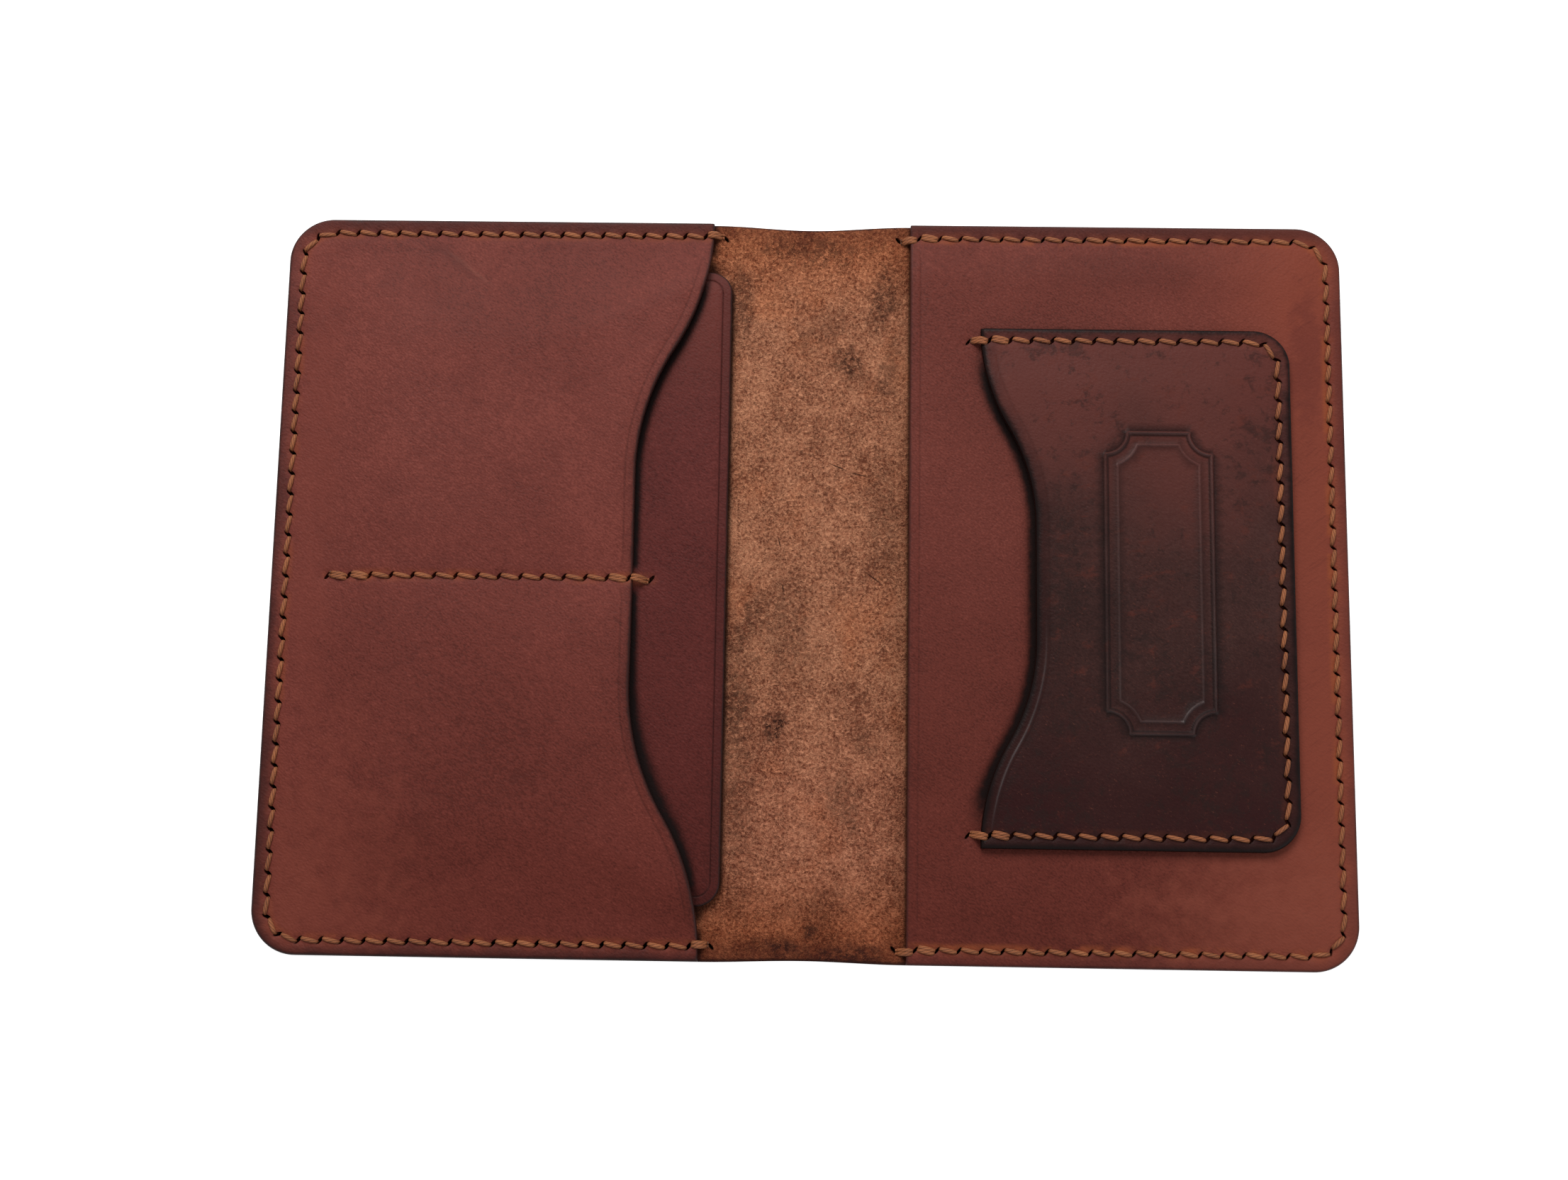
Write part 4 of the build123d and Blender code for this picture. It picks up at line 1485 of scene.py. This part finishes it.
def seam_tree():
    """Lays a stitch from each slit to the next, on the front and on the back of the leather."""
    group = bpy.data.node_groups.get("Waxed seam")
    if group:
        return group
    group = bpy.data.node_groups.new("Waxed seam", "GeometryNodeTree")
    for name, kind in SEAM_INPUTS:
        group.interface.new_socket(name, in_out="INPUT", socket_type=kind)
    group.interface.new_socket("Thread", in_out="OUTPUT", socket_type="NodeSocketGeometry")
    tree = Tree(group)
    ports = group.nodes.new("NodeGroupInput").outputs
    given = {name: Value(tree, ports[name]) for name, _ in SEAM_INPUTS}

    def vector(operation, *terms, output=0, **named):
        inputs = {**dict(enumerate(terms)), **named}
        return tree.node("ShaderNodeVectorMath", {"operation": operation}, inputs, output)

    def kept(name, kind="FLOAT_VECTOR"):
        return tree.node("GeometryNodeInputNamedAttribute", {"data_type": kind}, {"Name": name})

    def keep(geometry, name, value, kind="FLOAT_VECTOR"):
        inputs = {"Geometry": geometry, "Name": name, "Value": value}
        return tree.node("GeometryNodeStoreNamedAttribute", {"data_type": kind, "domain": "POINT"}, inputs)

    def compare(operation, first, second):
        settings = {"data_type": "INT", "operation": operation}
        return tree.node("FunctionNodeCompare", settings, {2: first, 3: second})

    def random(low, high, shift):
        inputs = {2: low, 3: high, "ID": index, "Seed": given["Seed"] + shift}
        return tree.node("FunctionNodeRandomValue", {"data_type": "FLOAT"}, inputs, 1)

    index = tree.node("GeometryNodeInputIndex")
    place = tree.node("GeometryNodeInputPosition")
    slits = tree.node("GeometryNodeObjectInfo", {}, {"Object": given["Slits"]}, "Geometry")
    stitch = tree.node("GeometryNodeObjectInfo", {}, {"Object": given["Stitch"]}, "Geometry")
    count = tree.node("GeometryNodeAttributeDomainSize", {"component": "MESH"}, {"Geometry": slits})
    last = count - 1
    every = compare("LESS_THAN", index, last)
    at_start = compare("LESS_THAN", index, given["Doubled Stitches"])
    at_end = compare("GREATER_EQUAL", index, last - given["Doubled Stitches"])
    doubled = tree.node("FunctionNodeBooleanMath", {"operation": "OR"}, {0: at_start, 1: at_end})
    second = tree.node("FunctionNodeBooleanMath", {"operation": "AND"}, {0: doubled, 1: every})
    flat = vector("MULTIPLY", place, (1, 1, 0))
    step = vector("SCALE", kept("slant"), Scale=given["Thread Reach"])
    level = tree.node("ShaderNodeSeparateXYZ", {}, {0: place}, "Z")

    def following(value, kind):
        settings = {"data_type": kind, "domain": "POINT"}
        return tree.node("GeometryNodeFieldAtIndex", settings, {"Index": index + 1, "Value": value})

    start = vector("ADD", flat, step)
    stop = vector("SUBTRACT", following(flat, "FLOAT_VECTOR"), following(step, "FLOAT_VECTOR"))
    straightest = vector("NORMALIZE", vector("SUBTRACT", stop, start))
    clear = vector("SCALE", straightest, Scale=given["Slit Clearance"])
    start, stop = vector("ADD", start, clear), vector("SUBTRACT", stop, clear)
    marked = keep(slits, "chord", vector("SUBTRACT", stop, start))
    marked = keep(marked, "rise", following(level, "FLOAT") - level, "FLOAT")
    side_step = vector("NORMALIZE", vector("CROSS_PRODUCT", kept("chord"), (0.0, 0.0, 1.0)))
    rows = []
    passes = ((0, 1.0, every, 0), (0, -1.0, second, 21), (1, 1.0, every, 43), (1, -1.0, second, 67))
    for back, side, chosen, shift in passes:
        away = vector("SCALE", side_step, Scale=doubled * given["Doubled Spread"] * side)
        upright = tree.node("ShaderNodeCombineXYZ", {}, {"Z": given["Back Level"] if back else level})
        position = vector("ADD", vector("ADD", start, away), upright)
        placed = tree.node("GeometryNodeSetPosition", {}, {"Geometry": marked, "Position": position})
        settings = {"primary_axis": "X", "secondary_axis": "Z"}
        up = (0.0, 0.0, -1.0 if back else 1.0)
        turn = tree.node("FunctionNodeAxesToRotation", settings, {0: kept("chord"), 1: up})
        stretch = vector("LENGTH", kept("chord"), output="Value") / given["Stitch Length"]
        thick = 1 + random(-1.0, 1.0, shift) * given["Unevenness"]
        tall = 1 + random(-1.0, 1.0, shift + 9) * given["Unevenness"] * (0.3 if back else 1.0)
        size = tree.node("ShaderNodeCombineXYZ", {}, {"X": stretch, "Y": thick, "Z": tall})
        inputs = {"Points": placed, "Selection": chosen, "Instance": stitch, "Rotation": turn, "Scale": size}
        made = tree.node("GeometryNodeInstanceOnPoints", {}, inputs)
        made = tree.node("GeometryNodeRealizeInstances", {}, {"Geometry": made})
        if not back:
            rise = kept("rise", "FLOAT")
            climbing = rise.math("GREATER_THAN", 0.0)
            share = ((kept("share", "FLOAT") - 0.40 + climbing * 0.32) / 0.50).clamped()
            lifted = rise * share * share * (3 - 2 * share)
            offset = tree.node("ShaderNodeCombineXYZ", {}, {"Z": lifted})
            made = tree.node("GeometryNodeSetPosition", {}, {"Geometry": made, "Offset": offset})
        rows.append(made)
    joined = tree.node("GeometryNodeJoinGeometry", {}, {"Geometry": rows})
    real = tree.node("GeometryNodeRealizeInstances", {}, {"Geometry": joined})
    finished = tree.node("GeometryNodeSetMaterial", {}, {"Geometry": real, "Material": given["Material"]})
    group.links.new(finished.socket, group.nodes.new("NodeGroupOutput").inputs[0])
    return group


def leather_height(names, spots):
    """The height of the highest of the named sheets at each spot, in millimetres."""
    found = np.full(len(spots), -1e9)
    for name in names:
        mesh = bpy.data.objects[name].data
        places = np.empty(len(mesh.vertices) * 3, np.float32)
        mesh.vertices.foreach_get("co", places)
        places = places.reshape(-1, 3)[: len(mesh.vertices) // 2] / MM
        for index, (x, y) in enumerate(spots):
            away = np.hypot(places[:, 0] - x, places[:, 1] - y)
            near = away < 1.25
            if near.sum() > 3 and away.min() < 0.75:
                found[index] = max(found[index], np.average(places[near, 2], weights=1 / (away[near] + 0.2)))
    return found


# How high the thread lies on the leather, how much shorter than its spacing a stitch is, how deep its legs
# go, how far doubled stitches lie apart, and how much stitches differ.
THREAD_LIFT = 0.06
STITCH_GAP = 0.6
STITCH_LEG = 1.6
DOUBLED_SPREAD = 0.30
STITCH_UNEVENNESS = 0.07


def make_seam(name, slits, sheets, back, doubled, body, nodes, s):
    """One row of waxed stitches through its slits, as a single mesh."""
    heights = leather_height(sheets, slits[:, :2]) + THREAD_LIFT
    guide_mesh = bpy.data.meshes.new(name + "_slits")
    guide_mesh.from_pydata(np.column_stack([slits[:, :2], heights]) * MM, [], [])
    slant = np.column_stack([slits[:, 2:4], np.zeros(len(slits))]).astype(np.float32)
    guide_mesh.attributes.new("slant", "FLOAT_VECTOR", "POINT").data.foreach_set("vector", slant.ravel())
    guide = bpy.data.objects.new(name + "_slits", guide_mesh)
    reach = s["stitch_pitch"] - STITCH_GAP
    stitch = stitch_object(s["thread_width"], s["thread_height"], reach, STITCH_LEG)
    blank = bpy.data.objects.new(name + "_row", bpy.data.meshes.new(name + "_row"))
    for each in (guide, stitch, blank):
        bpy.context.scene.collection.objects.link(each)
    modifier = blank.modifiers.new("Seam", "NODES")
    modifier.node_group = seam_tree()
    values = {
        "Slits": guide,
        "Stitch": stitch,
        "Stitch Length": reach * MM,
        "Thread Reach": s["slit_reach"] * MM,
        "Slit Clearance": s["slit_clearance"] * MM,
        "Back Level": back * MM,
        "Doubled Stitches": doubled,
        "Doubled Spread": DOUBLED_SPREAD * MM,
        "Unevenness": STITCH_UNEVENNESS,
        "Seed": s["seed"],
        "Material": paint("laid_thread"),
    }
    for item in modifier.node_group.interface.items_tree:
        if item.in_out == "INPUT":
            modifier[item.identifier] = values[item.name]
    bpy.context.view_layer.update()
    graph = bpy.context.evaluated_depsgraph_get()
    mesh = bpy.data.meshes.new_from_object(blank.evaluated_get(graph))
    if not len(mesh.polygons):
        raise RuntimeError(f"{name} came out empty")
    for each in (guide, stitch, blank):
        bpy.data.objects.remove(each)
    for extra in ("slant", "chord", "rise", "share"):
        if extra in mesh.attributes:
            mesh.attributes.remove(mesh.attributes[extra])
    seam = bpy.data.objects.new(name, mesh)
    mesh.name = name
    bpy.context.scene.collection.objects.link(seam)
    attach(seam, body)
    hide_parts(*nodes)
    return seam


class WALLET_OT_threads(Operator):
    """Sews the four seams with waxed thread"""

    bl_idname = "wallet.make_threads"
    bl_label = "Threads"

    def execute(self, context):
        s, slits = sizes(), seam_slits()
        groove, under = s["groove_depth"], SLEEVE_HIGH[2] - SLEEVE_THICK
        rows = (
            ("right_edge", "right", ["sleeve", "cover_right_half"], groove, 2, "right_half"),
            ("left_edge", "left", ["left_pocket", "cover_left_half"], groove, 1, "left_half"),
            ("card_pocket", "card", ["card_pocket", "sleeve"], under, 2, "right_half"),
            ("centre", "centre", ["left_pocket", "divider"], under, 2, "left_half"),
        )
        for name, row, sheets, back, doubled, body in rows:
            make_seam(name + "_thread", slits[row], sheets, back, doubled, body, [name + "_seam"], s)
        return {"FINISHED"}


# ---- The stage ----

# The camera's place and aim in millimetres, its roll in radians and its lens.
CAMERA_AT = (3.694, -67.869, 385.857)
CAMERA_LOOKS_AT = (-4.429, -1.009, 0.0)
CAMERA_ROLL = 0.017
CAMERA_LENS = 47.2

# Half the floor's side and its level under the cover, in metres, and the strength of the world's soft fill.
FLOOR_HALF = 1.5
FLOOR_LEVEL = -0.0004
FILL = 0.26


def area_light(name, place, target, width, height, power, tone):
    """A soft lamp above the table."""
    lamp = bpy.data.lights.new(name, "AREA")
    lamp.shape, lamp.size, lamp.size_y = "RECTANGLE", width, height
    lamp.energy, lamp.color = power, tone
    made = bpy.data.objects.new(name, lamp)
    made.location = place
    made.rotation_euler = (Vector(target) - Vector(place)).to_track_quat("-Z", "Y").to_euler()
    bpy.context.scene.collection.objects.link(made)


def studio_world():
    """White to the camera and in reflections, and a plain soft fill on the object."""
    world = bpy.data.worlds.new("studio")
    world.use_nodes = True
    tree = Tree(world.node_tree)
    world.node_tree.nodes.clear()
    inputs = {"Color": (1, 1, 1, 1), "Strength": seen_rays(tree) * (1 - FILL) + FILL}
    sky = tree.node("ShaderNodeBackground", {}, inputs)
    tree.node("ShaderNodeOutputWorld", {}, {"Surface": sky})
    return world


class WALLET_OT_stage(Operator):
    """Lays the floor, hangs the lamps and sets the camera"""

    bl_idname = "wallet.make_stage"
    bl_label = "Stage"

    def execute(self, context):
        scene = context.scene
        floor_mesh = bpy.data.meshes.new("floor")
        corners = ((-1, -1), (1, -1), (1, 1), (-1, 1))
        places = [(x * FLOOR_HALF, y * FLOOR_HALF, FLOOR_LEVEL) for x, y in corners]
        floor_mesh.from_pydata(places, [], [(0, 1, 2, 3)])
        floor_mesh.materials.append(paint("floor"))
        floor = bpy.data.objects.new("floor", floor_mesh)
        scene.collection.objects.link(floor)
        area_light("key", (-0.12, 0.50, 0.55), (0, 0, 0), 0.60, 0.40, 5.1, (1.0, 0.985, 0.965))
        area_light("fill", (0.55, -0.35, 0.55), (0, 0, 0), 0.6, 0.6, 1.4, (0.93, 0.96, 1.0))
        scene.world = studio_world()
        scene.view_settings.view_transform = "Standard"
        eye, aim = Vector(CAMERA_AT) * MM, Vector(CAMERA_LOOKS_AT) * MM
        forward = (aim - eye).normalized()
        right = forward.cross(Vector((0, 1, 0))).normalized()
        above = right.cross(forward)
        turned = math.cos(CAMERA_ROLL) * right + math.sin(CAMERA_ROLL) * above
        upright = -math.sin(CAMERA_ROLL) * right + math.cos(CAMERA_ROLL) * above
        lens = bpy.data.cameras.new("camera")
        lens.lens, lens.sensor_width, lens.clip_start = CAMERA_LENS, 36.0, 0.01
        camera = bpy.data.objects.new("camera", lens)
        facing = Matrix((turned, upright, -forward)).transposed().to_4x4()
        camera.matrix_world = Matrix.Translation(eye) @ facing
        scene.collection.objects.link(camera)
        scene.camera = camera
        return {"FINISHED"}


class WALLET_PT_panel(Panel):
    """Every step of the wallet, in the order in which it is made"""

    bl_label = "Passport wallet"
    bl_idname = "WALLET_PT_panel"
    bl_space_type = "VIEW_3D"
    bl_region_type = "UI"
    bl_category = "Wallet"

    def draw(self, context):
        for group in (context.scene.wallet_sizes, context.scene.wallet_colours):
            column = self.layout.column()
            for key in group.__annotations__:
                column.prop(group, key)
        for step in STEPS:
            self.layout.operator(step.bl_idname)


STEPS = (
    WALLET_OT_cover,
    WALLET_OT_divider,
    WALLET_OT_left_pocket,
    WALLET_OT_sleeve,
    WALLET_OT_card_pocket,
    WALLET_OT_threads,
    WALLET_OT_stage,
)
CLASSES = (WalletSizes, WalletColours, *STEPS, WALLET_PT_panel)


def register():
    for each in CLASSES:
        bpy.utils.register_class(each)
    bpy.types.Scene.wallet_sizes = PointerProperty(type=WalletSizes)
    bpy.types.Scene.wallet_colours = PointerProperty(type=WalletColours)


def unregister():
    del bpy.types.Scene.wallet_colours
    del bpy.types.Scene.wallet_sizes
    for each in reversed(CLASSES):
        bpy.utils.unregister_class(each)


def main():
    register()
    for step in STEPS:
        group, name = step.bl_idname.split(".")
        getattr(getattr(bpy.ops, group), name)()


if __name__ == "__main__":
    main()
